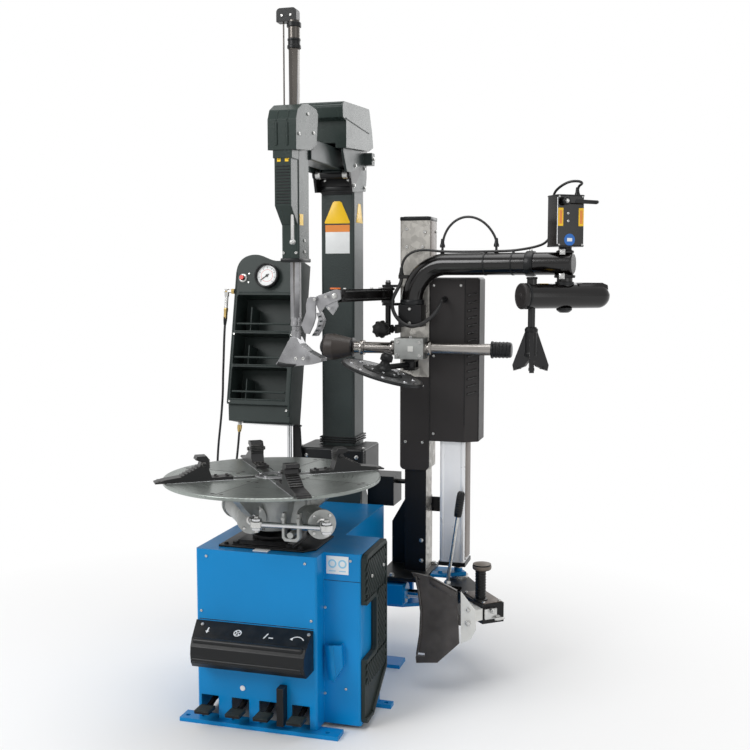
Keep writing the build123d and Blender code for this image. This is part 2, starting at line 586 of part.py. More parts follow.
# ======== inflation tower, built upright and leaned back ========
HALF = TOWER_W / 2
TRAYS = ((75, 186), (194, 303), (311, 438))
TRAY_DEPTH = 96.0
BUTTON = (-88.0, 497.0)
DIVIDER_X = -56.0
with BuildPart() as tower_shell:
    with BuildSketch(tower_face) as front:
        with BuildLine():
            Polyline((-HALF, 522), (-HALF, 58), (-HALF + 6, 0), (HALF, 0), (HALF, 564), (HALF - 60, 560))
            Spline((HALF - 60, 560), (20, 560), (-30, 578), (-80, 574), (-HALF, 522))
        make_face()
    extrude(front.sketch, amount=-TOWER_D)
    for low, high in TRAYS:
        with BuildSketch(tower_face) as hole:
            with Locations((-3, (low + high) / 2)):
                RectangleRounded(TOWER_W - 26, high - low, 7)
        extrude(hole.sketch, amount=-TRAY_DEPTH, mode=Mode.SUBTRACT)
        with BuildSketch(tower_face.offset(-22)) as wall:
            with Locations((DIVIDER_X, (low + high) / 2 - 20)):
                Rectangle(4, high - low - 38)
        extrude(wall.sketch, amount=-TRAY_DEPTH + 21)
    with BuildSketch(tower_face.offset(1)) as foot:
        with Locations((0, 28)):
            Rectangle(TOWER_W + 4, 58)
    extrude(foot.sketch, amount=-15, mode=Mode.SUBTRACT)
    # open back: the casing is a shell behind the trays and behind the gauge
    for low, high, depth in ((62, 553, TRAY_DEPTH + SHEET), (444, 553, 4)):
        with BuildSketch(tower_face.offset(-depth)) as back:
            with Locations((0, (low + high) / 2)):
                Rectangle(TOWER_W - 16, high - low)
        extrude(back.sketch, amount=-TOWER_D, mode=Mode.SUBTRACT)
    with BuildSketch(tower_face.offset(1)) as bore:
        with Locations(BUTTON):
            Circle(9 + RUN)
    extrude(bore.sketch, amount=-6, mode=Mode.SUBTRACT)
save(tower_shell, "tower_shell")

GAUGE = (6.0, 503.0)
with BuildPart() as gauge_body:
    with BuildSketch(tower_face) as disc:
        with Locations(GAUGE):
            Circle(GAUGE_R)
    extrude(disc.sketch, amount=20)
    fillet(gauge_body.edges().filter_by(GeomType.CIRCLE), 2.5)
    with BuildSketch(tower_face.offset(12)) as dial:
        with Locations(GAUGE):
            Circle(GAUGE_R - 6)
    extrude(dial.sketch, amount=9, mode=Mode.SUBTRACT)
    with BuildSketch(tower_face.offset(11)) as stud:
        with Locations(GAUGE):
            Circle(1.5)
    extrude(stud.sketch, amount=5)
save(gauge_body, "gauge_body")

with BuildPart() as gauge_needle:
    with BuildSketch(tower_face.offset(13.5)) as hand:
        with Locations(GAUGE):
            Circle(4)
            with Locations(Location((0, 0), 215)):
                with Locations((13, 0)):
                    Rectangle(30, 2)
            Circle(1.5 + RUN, mode=Mode.SUBTRACT)
    extrude(hand.sketch, amount=1.2)
save(gauge_needle, "gauge_needle")

with BuildPart() as inflate_button:
    with BuildSketch(tower_face.offset(-16)) as cap:
        with Locations(BUTTON):
            Circle(9)
    extrude(cap.sketch, amount=30)
    fillet(inflate_button.edges().filter_by(GeomType.CIRCLE).sort_by(Axis.Y)[0], 2)
    with BuildSketch(tower_face.offset(-4 - GAP)) as collar:
        with Locations(BUTTON):
            Circle(12)
    extrude(collar.sketch, amount=-4)
save(inflate_button, "inflate_button")


# ======== hoses ========
def hose(points, radius, name):
    """A hose of straight runs joined by arcs that are as large as their runs allow."""
    spots = [Vector(*p) for p in points]
    runs = [b - a for a, b in zip(spots, spots[1:])]
    radii = []
    for before, after in zip(runs, runs[1:]):
        turn = math.radians(before.get_angle(after))
        radii.append(0.45 * min(before.length, after.length) / math.tan(turn / 2))
    print(name, "bend radii", [round(r) for r in radii])
    with BuildPart() as tube:
        with BuildLine() as path:
            FilletPolyline(*points, radius=radii)
        with BuildSketch(Plane(origin=spots[0], z_dir=runs[0])) as section:
            Circle(radius)
        sweep(section.sketch, path=path.line)
    length = sum(edge.length for edge in path.edges())
    share = tube.part.volume / (math.pi * radius**2 * length)
    print(name, "volume share", round(share, 3), "length", round(length))
    save(tube, name)


HOSE_R = 4.0
ELBOW_TOP = (-380.0, 384.0, 1222.0)
COUPLER = Vector(-2, -18, -110).normalized()
INFLATOR_ROUTE = [
    tuple(Vector(*ELBOW_TOP) + COUPLER * 58),
    (-382, 366, 1112), (-383, 361, 1056), (-384, 358, 1000), (-386, 356, 944), (-387, 355, 888),
    (-391, 354, 832), (-397, 354, 776), (-405, 356, 722), (-412, 360, 668), (-418, 367, 612),
    (-419, 378, 556), (-414, 394, 503), (-400, 414, 454), (-374, 434, 413), (-336, 449, 381),
    (-294, 466, 360), (-250, 478, 348), (-206, 478, 342), (-180, 452, 341), (-180, CAB_BACK + 8, 341),
]
SUPPLY_START = tower_plane.from_local_coords(Vector(-96, 82, 0))
SUPPLY_AXIS = -tower_plane.z_dir
SUPPLY_ROUTE = [
    tuple(SUPPLY_START + SUPPLY_AXIS * 16),
    tuple(SUPPLY_START + SUPPLY_AXIS * 64),
    (-337, 358, 668), (-345, 361, 616), (-349, 370, 564), (-345, 388, 516), (-331, 414, 474),
    (-306, 444, 440), (-272, 472, 414), (-237, 482, 400), (-205, 469, 392), (-188, 442, 390),
    (-188, CAB_BACK + 8, 390),
]
STUB_R = 7.0
with BuildPart() as air_fittings:
    # elbow and coupler on the tower's left wall, and the two sockets on the cabinet's rear corner
    rod((TOWER_X - HALF, ELBOW_TOP[1], ELBOW_TOP[2] + 18), (-1, 0, 0), 6, 38)
    rod((ELBOW_TOP[0], ELBOW_TOP[1], ELBOW_TOP[2] + 26), (0, 0, -1), 8, 26)
    rod(ELBOW_TOP, COUPLER, 6, 58)
    for x, z in ((-180, 341), (-188, 390)):
        block(x - 8, -CAB_X + 14, CAB_BACK, CAB_BACK + 8, z - 8, z + 8)
    rod(SUPPLY_START, SUPPLY_AXIS, STUB_R, 16)
save(air_fittings, "air_fittings")
hose(INFLATOR_ROUTE, HOSE_R, "inflator_hose")
hose(SUPPLY_ROUTE, HOSE_R, "supply_hose")

# ======== bead breaker ========
with BuildPart() as breaker_beam:
    block(CAB_X, 280, ROD_Y - 35, ROD_Y + 35, BEAM_Z0, BASE_Z)
    fillet(breaker_beam.edges().filter_by(Axis.X), 6)
    block(CAB_X + 8, 290, ROD_Y - 30, ROD_Y + 30, BEAM_Z0 + 5, BASE_Z - 5, Mode.SUBTRACT)
    # lower and upper lugs that carry the arm's pivot
    for z in (172, BASE_Z):
        with BuildSketch(Plane.XY.offset(z)) as lug:
            with BuildLine():
                tip = ((ARM_PIVOT[0], ARM_PIVOT[1] + 34), (ARM_PIVOT[0] + 30, 470))
                Polyline((CAB_X, 366), (CAB_X, 500), *tip, (260, 366), close=True)
            make_face()
        extrude(lug.sketch, amount=BASE_T)
    block(CAB_X, CAB_X + 10, 300, 410, 172, BASE_Z + BASE_T)
    block(CAB_X, 270, 470, 490, 172, BASE_Z + BASE_T)
    rod((278, ROD_Y, ROD_Z), (1, 0, 0), 35, 8)
    rod((CAB_X - 1, ROD_Y, ROD_Z), (1, 0, 0), ROD_R + RUN, 120, Mode.SUBTRACT)
    rod((*ARM_PIVOT, 166), (0, 0, 1), BREAKER_PIN_R, BASE_Z + BASE_T + 12 - 166)
save(breaker_beam, "breaker_beam")

with BuildPart() as breaker_rod:
    rod((60, ROD_Y, ROD_Z), (1, 0, 0), ROD_R, 392)
    rod((440, ROD_Y, ROD_Z - 18), (0, 0, 1), 12, 36)
save(breaker_rod, "breaker_rod")

ARM_BOX_ANGLE = -51.0
ARM_BOX_C = (505.0, 327.0)
LEVER_FOOT = (415.0, 365.0, 261.0)
LEVER_DIR = Vector(46, 0, 316).normalized()
ARM_BOX = [polar(ARM_BOX_C, ARM_BOX_ANGLE, a, c) for a, c in ((6, 44), (146, 38), (146, -38), (6, -44))]
ARM_LOW = 200.0
ARM_HIGH = 262.0
with BuildPart() as breaker_arm:
    rod((*ARM_PIVOT, 172 + BASE_T + GAP), (0, 0, 1), 34, BASE_Z - 172 - BASE_T - 2 * GAP)
    with BuildSketch(Plane.XY.offset(ARM_LOW)) as plan:
        with BuildLine():
            Polyline(
                (ARM_PIVOT[0] - 24, ARM_PIVOT[1] - 18), (ARM_PIVOT[0] + 30, ARM_PIVOT[1] + 12),
                ARM_BOX[0], ARM_BOX[1], ARM_BOX[2], ARM_BOX[3], (424, 360), close=True,
            )
        make_face()
    extrude(plan.sketch, amount=ARM_HIGH - ARM_LOW)
    block(400, 466, 300, 362, 212, 268, Mode.SUBTRACT)
    block(410, 470, 308, 352, 195, 268, Mode.SUBTRACT)
    rod((*ARM_PIVOT, 170), (0, 0, 1), BREAKER_PIN_R + RUN, 110, Mode.SUBTRACT)
    # hand grip with its oval knob, and the lever with its black grip
    gx, gy = polar(ARM_BOX_C, ARM_BOX_ANGLE, 102, -22)
    rod((gx, gy, ARM_HIGH - 1), (0, 0, 1), 16, 106)
    with Locations((gx + 4, gy, ARM_HIGH + 112)):
        Cylinder(29, 16)
    block(401, 432, 354, 378, ARM_LOW, ARM_HIGH)
    rod(LEVER_FOOT, LEVER_DIR, 6, 250)
    rod(Vector(*LEVER_FOOT) + LEVER_DIR * 240, LEVER_DIR, 12.5, 80)
save(breaker_arm, "breaker_arm")

# curved blade with a folded upper edge and its nylon guard
BLADE_Y = 112.0
with BuildPart() as breaker_blade:
    with BuildSketch(Plane.XZ.offset(-BLADE_Y)) as front:
        with BuildLine():
            Polyline((356, 372), (414, 364), (500, 326), (508, 158), (440, 90), (372, 82), (370, 100))
            Spline((370, 100), (383, 180), (386, 250), (376, 320), (356, 372))
        make_face()
        for x, z in ((368, 352), (386, 112)):
            with Locations((x, z)):
                Rectangle(26, 9, mode=Mode.SUBTRACT)
    extrude(front.sketch, amount=-8)
    block(400, 520, BLADE_Y + 6, BLADE_Y + 60, 214, 250)
    with BuildSketch(Plane.XY.offset(214)) as neck:
        with BuildLine():
            near = ((440, BLADE_Y + 50), (506, BLADE_Y + 6))
            Polyline(*near, ARM_BOX[2], (530, 250), (505, 250), close=True)
        make_face()
    extrude(neck.sketch, amount=36)
    extrude(plan.sketch, amount=ARM_HIGH - ARM_LOW + 1, mode=Mode.SUBTRACT)
    # nylon guard bolted behind the blade
    guard = [(512, 322), (556, 268), (560, 206), (545, 176), (514, 160)]
    profile(Plane.XZ.offset(-BLADE_Y - 1), guard, -7)
save(breaker_blade, "breaker_blade")

# ======== assist mast ========
with BuildPart() as assist_post:
    block(190, 352, 300, 520, BASE_Z + BASE_T, BASE_Z + 2 * BASE_T)
    x0 = POST_X - POST_W / 2
    x1 = POST_X + POST_W / 2
    foot = BASE_Z + 2 * BASE_T
    block(x0, x1, POST_Y0, POST_Y1, foot - 1, POST_TOP)
    block(x0 + 5, x1 - 5, POST_Y0 + 5, POST_Y1 - 5, foot, POST_TOP + 1, Mode.SUBTRACT)
    gusset = [(193, foot - 1), (193, 440), (250, 540), (x1, 540), (x1, foot - 1)]
    profile(Plane.XZ.offset(-POST_Y1 - 10), gusset, 10)
    # rear bracket that holds the lift cylinder, and the strut towards the column foot
    block(x0 + 5, x1 - 5, POST_Y1, LIFT_Y + 50, 480, 530)
    block(x0 + 5, LIFT_X + 30, LIFT_Y + 50, LIFT_Y + 58, 480, 530)
    rod((207, 494, 580), (1, 0, 0), 8, 72)
    block(266, 282, POST_Y1 - 1, 502, 566, 594)
save(assist_post, "assist_post")

with BuildPart() as lift_cylinder:
    block(LIFT_X - LIFT_W / 2, LIFT_X + LIFT_W / 2, LIFT_Y - 50, LIFT_Y + 50, 330, 900)
    fillet(lift_cylinder.edges().filter_by(Axis.Z), 8)
    block(LIFT_X - 46, LIFT_X + 46, LIFT_Y - 50, LIFT_Y + 50, 318, 332)
    rod((LIFT_X, LIFT_Y, 340), (0, 0, 1), LIFT_BORE, 545, Mode.SUBTRACT)
    rod((LIFT_X, LIFT_Y, 880), (0, 0, 1), 12.5 + RUN, 30, Mode.SUBTRACT)
save(lift_cylinder, "lift_cylinder")

MAST_X0 = POST_X - MAST_W / 2
MAST_X1 = POST_X + MAST_W / 2
with BuildPart() as lift_mast:
    block(MAST_X0, MAST_X1, MAST_FRONT, POST_Y1 - 4, MAST_Z0, MAST_Z1)
    fillet(lift_mast.edges().filter_by(Axis.Z).group_by(Axis.Y)[0], 4)
    block(MAST_X0 + 5, MAST_X1 - 5, MAST_FRONT + 5, POST_Y1, MAST_Z0 - 1, MAST_Z1 - 5, Mode.SUBTRACT)
    # slide pads that run on the fixed post
    for z in (MAST_Z0 + 20, POST_TOP - 140):
        block(MAST_X0 + 4, POST_X - POST_W / 2 - GAP, POST_Y0 + 10, POST_Y1 - 14, z, z + 90)
        block(POST_X + POST_W / 2 + GAP, MAST_X1 - 4, POST_Y0 + 10, POST_Y1 - 14, z, z + 90)
        block(POST_X - 25, POST_X + 25, MAST_FRONT + 4, POST_Y0 - GAP, z, z + 90)
    # bridge to the piston rod of the lift cylinder
    block(MAST_X1 - 5, LIFT_X + 30, LIFT_Y - 20, LIFT_Y + 20, 1236, 1262)
    rod((LIFT_X, LIFT_Y, 640), (0, 0, 1), 12.5, 600)
    rod((LIFT_X, LIFT_Y, 640), (0, 0, 1), LIFT_BORE - RUN, 24)
    # brackets: neck bearing, bar clamp block, disc arm lug and holder lug
    block(POST_X - 38, POST_X + 38, NECK_Y - 36, MAST_FRONT + 1, 1128, NECK_Z - 12)
    block(245, 341, NECK_Y - 33, MAST_FRONT + 1, ROLLER_BAR_Z - 34, ROLLER_BAR_Z + 34)
    rod((244, NECK_Y, ROLLER_BAR_Z), (1, 0, 0), ROLLER_BAR_R + RUN, 98, Mode.SUBTRACT)
    for z in (DISC_ARM_Z - 18, DISC_ARM_Z + 10):
        block(DISC_PIVOT[0] - 20, DISC_PIVOT[0] + 20, DISC_PIVOT[1] - 20, MAST_FRONT + 1, z, z + 8)
    lug_x0 = DISC_PIVOT[0] - 20
    lug_x1 = DISC_PIVOT[0] + 20
    block(lug_x0, lug_x1, MAST_FRONT - 8, MAST_FRONT + 1, DISC_ARM_Z - 18, ROLLER_BAR_Z)
    rod((*DISC_PIVOT, DISC_ARM_Z - 20), (0, 0, 1), 8, 40)
    for z in (1196, 1256):
        block(HOLDER_PIVOT[0] - 16, MAST_X0 + 1, HOLDER_PIVOT[1] - 16, HOLDER_PIVOT[1] + 50, z, z + 8)
        block(MAST_X0 - 10, MAST_X0 + 1, HOLDER_PIVOT[1] - 16, MAST_FRONT + 30, z, z + 8)
    rod((*HOLDER_PIVOT, 1100), (0, 0, 1), 9, 172)
    rod((POST_X, NECK_Y, 1150), (0, 0, 1), 22 + RUN, 60, Mode.SUBTRACT)
    # knob that locks the holder arm
    rod((KNOB_X, NECK_Y - 24, 1119), (0, 1, 0), 6, 24)
    rod((KNOB_X - 6, NECK_Y, 1119), (1, 0, 0), 8, MAST_X0 - KNOB_X + 8)
    block(MAST_X0 - 6, MAST_X0 + 2, NECK_Y - 12, MAST_FRONT + 30, 1105, 1133)
    with Locations((KNOB_X, NECK_Y - 34, 1119)):
        Sphere(25)
save(lift_mast, "lift_mast")

with BuildPart() as mast_covers:
    block(MAST_X0, MAST_X1, MAST_FRONT - 3, MAST_FRONT, MAST_Z0 - 6, 958)
    fillet(mast_covers.edges().filter_by(Axis.Y).group_by(Axis.Z)[0], 16)
    # tall cover over the lift cylinder, with a slanted right side and an open back
    plan = [(MAST_X1, MAST_COVER_Y), (466, MAST_COVER_Y), (508, 408), (508, 512), (MAST_X1, 512)]
    profile(Plane.XY.offset(745), plan, 543)
    fillet(mast_covers.faces().sort_by(Axis.Z)[-1].edges(), 8)
    cave = [(MAST_X1 + 4, 384), (465, 384), (504, 410), (504, 514), (MAST_X1 + 4, 514)]
    profile(Plane.XY.offset(744), cave, 540, Mode.SUBTRACT)
    block(MAST_X1 - 1, MAST_X1 + 6, LIFT_Y - 22, LIFT_Y + 22, 1233, 1265, Mode.SUBTRACT)
save(mast_covers, "mast_covers")

# ======== upper arm ========
ARM_AXIS_Z = NECK_Z + NECK_BEND
ELBOW_SEAT = ARM_AXIS_Z - TUBE_R - 8
with BuildPart() as upper_arm:
    rod((POST_X, NECK_Y, 1152), (0, 0, 1), 22, 50)
    with BuildLine() as path:
        route = [(POST_X, NECK_Y, NECK_Z - 11), (POST_X, NECK_Y, ARM_AXIS_Z), (*ARM_END, ARM_AXIS_Z)]
        FilletPolyline(*route, radius=NECK_BEND - 1)
    with BuildSketch(Plane(origin=(POST_X, NECK_Y, NECK_Z - 11), z_dir=(0, 0, 1))) as section:
        Circle(TUBE_R)
    sweep(section.sketch, path=path.line)
    fillet(upper_arm.edges().filter_by(GeomType.CIRCLE).sort_by(Axis.X)[-1], 6)
    # elbow stud that carries the second arm, and the stub for the control box
    rod((*ELBOW, ELBOW_SEAT - 20), (0, 0, 1), 11, 40)
    rod((*ELBOW, ELBOW_SEAT), (0, 0, 1), 17, 16)
    rod((*BOX_C, ARM_AXIS_Z + TUBE_R - 8), (0, 0, 1), 14, BOX_Z - ARM_AXIS_Z - TUBE_R + 8)
    # clip behind the neck and two glands on top that hold the hoses
    block(254, 300, 329, 345, 1284, 1296)
    for x, y in ((398, 341), (578, 312.5)):
        rod((x, y, ARM_AXIS_Z + 22), (0, 0, 1), 7, 20)
save(upper_arm, "upper_arm")

SECOND_ANGLE = 35.7
SECOND_L = 302.0
second_dir = Vector(1, 0, 0).rotate(Axis.Z, SECOND_ANGLE)
FRONT_END = polar(ELBOW, SECOND_ANGLE, -148)
PRESSER = polar(ELBOW, SECOND_ANGLE, -112)
with BuildPart() as second_arm:
    rod((*FRONT_END, SECOND_Z), second_dir, SECOND_R, SECOND_L - SECOND_R)
    tail = polar(FRONT_END, SECOND_ANGLE, SECOND_L - SECOND_R)
    with Locations((*tail, SECOND_Z)):
        Sphere(SECOND_R)
    rod((*ELBOW, SECOND_Z), (0, 0, 1), 24, ELBOW_SEAT - GAP - SECOND_Z)
    rod((*PRESSER, SECOND_Z), (0, 0, 1), 15, 52)
    rod((*ELBOW, SECOND_Z - SECOND_R - 6), (0, 0, 1), 14, 12)
    rod((*ELBOW, ELBOW_SEAT - 21), (0, 0, 1), 11 + RUN, 40, Mode.SUBTRACT)
    rod((*PRESSER, SECOND_Z - 60), (0, 0, 1), 11 + RUN, 140, Mode.SUBTRACT)
save(second_arm, "second_arm")

# presser rod with its three-finned foot
FOOT_Z = 1002.0
FIN_ANGLE = 40.0
with BuildPart() as presser_rod:
    rod((*PRESSER, FOOT_Z + 60), (0, 0, 1), 11, 225)
    rod((*PRESSER, FOOT_Z + 52), (0, 0, 1), 17, 78)
    for turn in range(3):
        angle = FIN_ANGLE + 120 * turn
        fin = [(0, 40), (0, 126), (16, 126), (60, 18), (56, 0), (20, 14)]
        profile(radial_plane(PRESSER, FOOT_Z, angle).offset(-7), fin, 14)
save(presser_rod, "presser_rod")

LEVER_U = -22.0
LEVER_V = 136.0
box_plane = Plane(origin=(*BOX_C, BOX_Z), x_dir=Vector(1, 0, 0).rotate(Axis.Z, BOX_TURN), z_dir=(0, 0, 1))
with BuildPart(box_plane) as control_box:
    with Locations((0, 0, BOX_H / 2)):
        Box(BOX_W, BOX_D, BOX_H)
    fillet(control_box.edges().filter_by(Axis.Z), 3)
    with Locations((0, 0, BOX_H / 2)):
        Box(BOX_W - 6, BOX_D - 6, BOX_H - 6, mode=Mode.SUBTRACT)
    with Locations((LEVER_U, -BOX_D / 2 - 4, LEVER_V)):
        Box(16, 10, 16)
    with Locations((LEVER_U, -BOX_D / 2 - 12, LEVER_V)):
        Cylinder(5, 18, rotation=(90, 0, 0))
save(control_box, "control_box")

lever_face = Plane(origin=box_plane.origin, x_dir=box_plane.x_dir, z_dir=-box_plane.y_dir)
with BuildPart() as toggle_lever:
    with BuildSketch(lever_face.offset(BOX_D / 2 + 10)) as hub:
        with Locations((LEVER_U, LEVER_V)):
            Circle(11)
    extrude(hub.sketch, amount=8)
    with BuildSketch(lever_face.offset(BOX_D / 2 + 11)) as handle:
        with BuildLine():
            point = ((82, LEVER_V + 3), (86, LEVER_V - 2), (80, LEVER_V - 5))
            Polyline((LEVER_U + 4, LEVER_V + 6), *point, (LEVER_U + 4, LEVER_V - 6), close=True)
        make_face()
    extrude(handle.sketch, amount=6)
    with BuildSketch(lever_face) as bore:
        with Locations((LEVER_U, LEVER_V)):
            Circle(5 + RUN)
    extrude(bore.sketch, amount=80, mode=Mode.SUBTRACT)
save(toggle_lever, "toggle_lever")

# ======== holder arm ========
holder_angle = math.degrees(math.atan2(HOLDER_TIP[1] - HOLDER_PIVOT[1], HOLDER_TIP[0] - HOLDER_PIVOT[0]))
holder_len = math.hypot(HOLDER_TIP[1] - HOLDER_PIVOT[1], HOLDER_TIP[0] - HOLDER_PIVOT[0])
holder_x = Vector(1, 0, 0).rotate(Axis.Z, holder_angle)
holder_plane = Plane(origin=(*HOLDER_PIVOT, HOLDER_Z), x_dir=holder_x, z_dir=(0, 0, 1))
with BuildPart() as holder_arm:
    rod((*HOLDER_PIVOT, 1204 + GAP), (0, 0, 1), 17, 52 - 2 * GAP)
    with BuildSketch(holder_plane.offset(-19)) as bar:
        with Locations((holder_len / 2 + 4, 0)):
            Rectangle(holder_len - 12, 34)
    extrude(bar.sketch, amount=38)
    rod((HOLDER_TIP[0] + 4, HOLDER_TIP[1] - 19, HOLDER_Z), (0, 1, 0), 15, 50)
    rod((HOLDER_TIP[0] + 4, HOLDER_TIP[1] - 33, HOLDER_Z), (0, 1, 0), 7, 20)
    rod((*HOLDER_PIVOT, 1190), (0, 0, 1), 9 + RUN, 80, Mode.SUBTRACT)
save(holder_arm, "holder_arm")

# two-link tool with a dark pressure pad
TOOL_Y = HOLDER_TIP[1] - 32
with BuildPart() as holder_tool:
    link = [
        (172, 1250), (174, 1224), (150, 1214), (124, 1203), (107, 1182), (97, 1207), (86, 1224),
        (100, 1233), (131, 1243), (157, 1252),
    ]
    profile(Plane.XZ.offset(-TOOL_Y), link, -12)
    finger = [
        (71, 1224), (80, 1230), (100, 1230), (96, 1200), (97, 1170), (89, 1145), (76, 1119),
        (63, 1121), (52, 1145), (68, 1185), (67, 1204),
    ]
    profile(Plane.XZ.offset(-TOOL_Y + 8), finger, -9)
    cheek = [(122, 1202), (147, 1176), (165, 1204), (160, 1222), (140, 1216)]
    profile(Plane.XZ.offset(-TOOL_Y - 4), cheek, -6)
    pad = [
        (109, 1184), (120, 1160), (112, 1136), (97, 1113), (82, 1113), (97, 1138), (103, 1163),
        (97, 1182),
    ]
    profile(Plane.XZ.offset(-TOOL_Y), pad, -24)
    rod((HOLDER_TIP[0] + 4, TOOL_Y - 1, HOLDER_Z), (0, 1, 0), 7 + RUN, 20, Mode.SUBTRACT)
save(holder_tool, "holder_tool")

# ======== roller bar ========
BAR_LEFT = 60.0
BAR_RIGHT = 562.0
with BuildPart() as roller_bar:
    rod((BAR_LEFT, NECK_Y, ROLLER_BAR_Z), (1, 0, 0), ROLLER_BAR_R, BAR_RIGHT - BAR_LEFT)
    rod((-10, NECK_Y, ROLLER_BAR_Z), (1, 0, 0), 10, 72)
    rod((-12, NECK_Y, ROLLER_BAR_Z), (1, 0, 0), 20, 8)
    rod((BAR_RIGHT, NECK_Y, ROLLER_BAR_Z), (1, 0, 0), 25, 64)
    fillet(roller_bar.edges().filter_by(GeomType.CIRCLE).sort_by(Axis.X)[-1], 6)
save(roller_bar, "roller_bar")

NARROW_R = 10 + RUN
WIDE_R = ROLLER_BAR_R + 0.4
roller_plane = Plane(origin=(0, NECK_Y, ROLLER_BAR_Z), x_dir=(1, 0, 0), z_dir=(0, -1, 0))
with BuildPart() as assist_roller:
    with BuildSketch(roller_plane) as half:
        with BuildLine():
            Polyline(
                (-3.7, NARROW_R), (-3.7, 40), (4, 44), (30, 44), (90, 30), (100, 24),
                (100, WIDE_R), (59.5, WIDE_R), (59.5, NARROW_R), close=True,
            )
        make_face()
    revolve(half.sketch, axis=Axis((0, NECK_Y, ROLLER_BAR_Z), (1, 0, 0)))
save(assist_roller, "assist_roller")

# ======== lifting disc on its arm ========
tilt = math.radians(DISC_TILT)
disc_axis = Vector(math.sin(tilt), 0, math.cos(tilt))
disc_point = Vector(*DISC_C, DISC_Z)
with BuildPart() as disc_arm:
    rod((*DISC_PIVOT, DISC_ARM_Z - 10 + GAP), (0, 0, 1), 17, 20 - 2 * GAP)
    hub_spot = disc_point + disc_axis * ((DISC_ARM_Z - DISC_Z) / disc_axis.Z)
    reach = Vector(hub_spot.X - DISC_PIVOT[0], hub_spot.Y - DISC_PIVOT[1], 0)
    rod((*DISC_PIVOT, DISC_ARM_Z), reach, 9, reach.length)
    rod(disc_point + disc_axis * 8, disc_axis, 14, 58)
    rod(disc_point - disc_axis * 16, disc_axis, 8, 30)
    rod(disc_point - disc_axis * 18, disc_axis, 14, 8)
    rod((*DISC_PIVOT, 950), (0, 0, 1), 8 + RUN, 90, Mode.SUBTRACT)
save(disc_arm, "disc_arm")

with BuildPart() as lifting_disc:
    rod(disc_point - disc_axis * 6, disc_axis, DISC_R, 9)
    fillet(lifting_disc.edges().filter_by(GeomType.CIRCLE), 3)
    rod(disc_point - disc_axis * 9, disc_axis, 24, 16)
    rod(disc_point - disc_axis * 20, disc_axis, 8 + RUN, 60, Mode.SUBTRACT)
save(lifting_disc, "lifting_disc")

# ======== assist hoses ========
ARM_ROUTE = [
    (262, 337, 1296), (262, 337, 1326), (276, 336, 1356), (308, 335, 1375), (352, 333, 1377),
    (404, 328.1, 1369.4), (612, 295.4, 1369.4), (660, 288, 1374), (704, 292, 1382), (734, 306, 1394),
    (752, 318, 1424), (756, 322, 1468), (754, 310, 1512), (757, 286, 1544), (778, 262, 1562),
    (808, 248, 1576), (838, 244, 1576), (848, 260, 1570), (830, 277, 1562), (830, 277, 1536),
]
LOOP_ROUTE = [
    (262, 337, 1284), (262, 337, 1272), (250, 320, 1244), (239, 303, 1214), (244, 293, 1184),
    (260, 287, 1157),
    (288, 284, 1134), (322, 286, 1130), (352, 294, 1144), (376, 307, 1166), (392, 324, 1192),
    (398, 344, 1216), (398, MAST_COVER_Y, 1216),
]
STRAP_ROUTE = [
    (398, 341, 1372), (398, 341, 1404), (412, 337, 1440), (436, 333, 1466), (466, 329, 1480),
    (498, 325, 1480), (528, 321, 1468), (554, 317, 1446), (574, 313, 1416), (578, 312.5, 1396),
    (578, 312.5, 1372),
]
hose(ARM_ROUTE, HOSE_R, "arm_hose")
hose(LOOP_ROUTE, HOSE_R + 2, "loop_hose")
hose(STRAP_ROUTE, HOSE_R, "strap_hose")
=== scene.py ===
import bpy
import bmesh
import math
from mathutils import Matrix, Vector


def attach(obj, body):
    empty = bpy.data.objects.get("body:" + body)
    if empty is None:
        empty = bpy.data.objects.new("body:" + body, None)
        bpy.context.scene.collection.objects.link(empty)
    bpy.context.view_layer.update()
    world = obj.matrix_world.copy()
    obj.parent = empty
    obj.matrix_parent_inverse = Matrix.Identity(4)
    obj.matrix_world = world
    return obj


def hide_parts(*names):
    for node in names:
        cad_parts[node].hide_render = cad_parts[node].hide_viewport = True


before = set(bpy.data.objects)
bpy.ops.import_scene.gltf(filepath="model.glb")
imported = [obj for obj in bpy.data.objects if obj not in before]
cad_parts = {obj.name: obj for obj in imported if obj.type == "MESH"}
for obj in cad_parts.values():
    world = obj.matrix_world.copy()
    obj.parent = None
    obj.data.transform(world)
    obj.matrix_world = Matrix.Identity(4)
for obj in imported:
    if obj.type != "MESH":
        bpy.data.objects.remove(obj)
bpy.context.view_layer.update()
MM = 0.001
BEVEL_SAMPLES = 4
DUST_TONE = (168, 164, 156)
COAT_ROUGHNESS = 0.12
SHARP_FROM = 0.5
SHADE_SHARP_FROM = 0.6
WHITE = (1, 1, 1, 1)


# ---------------------------------------------------------------- shader groups
def tint(red, green, blue):
    """A screen colour as the shader's linear colour."""
    def linear(value):
        value /= 255
        return value / 12.92 if value <= 0.04045 else ((value + 0.055) / 1.055) ** 2.4
    return (linear(red), linear(green), linear(blue), 1)


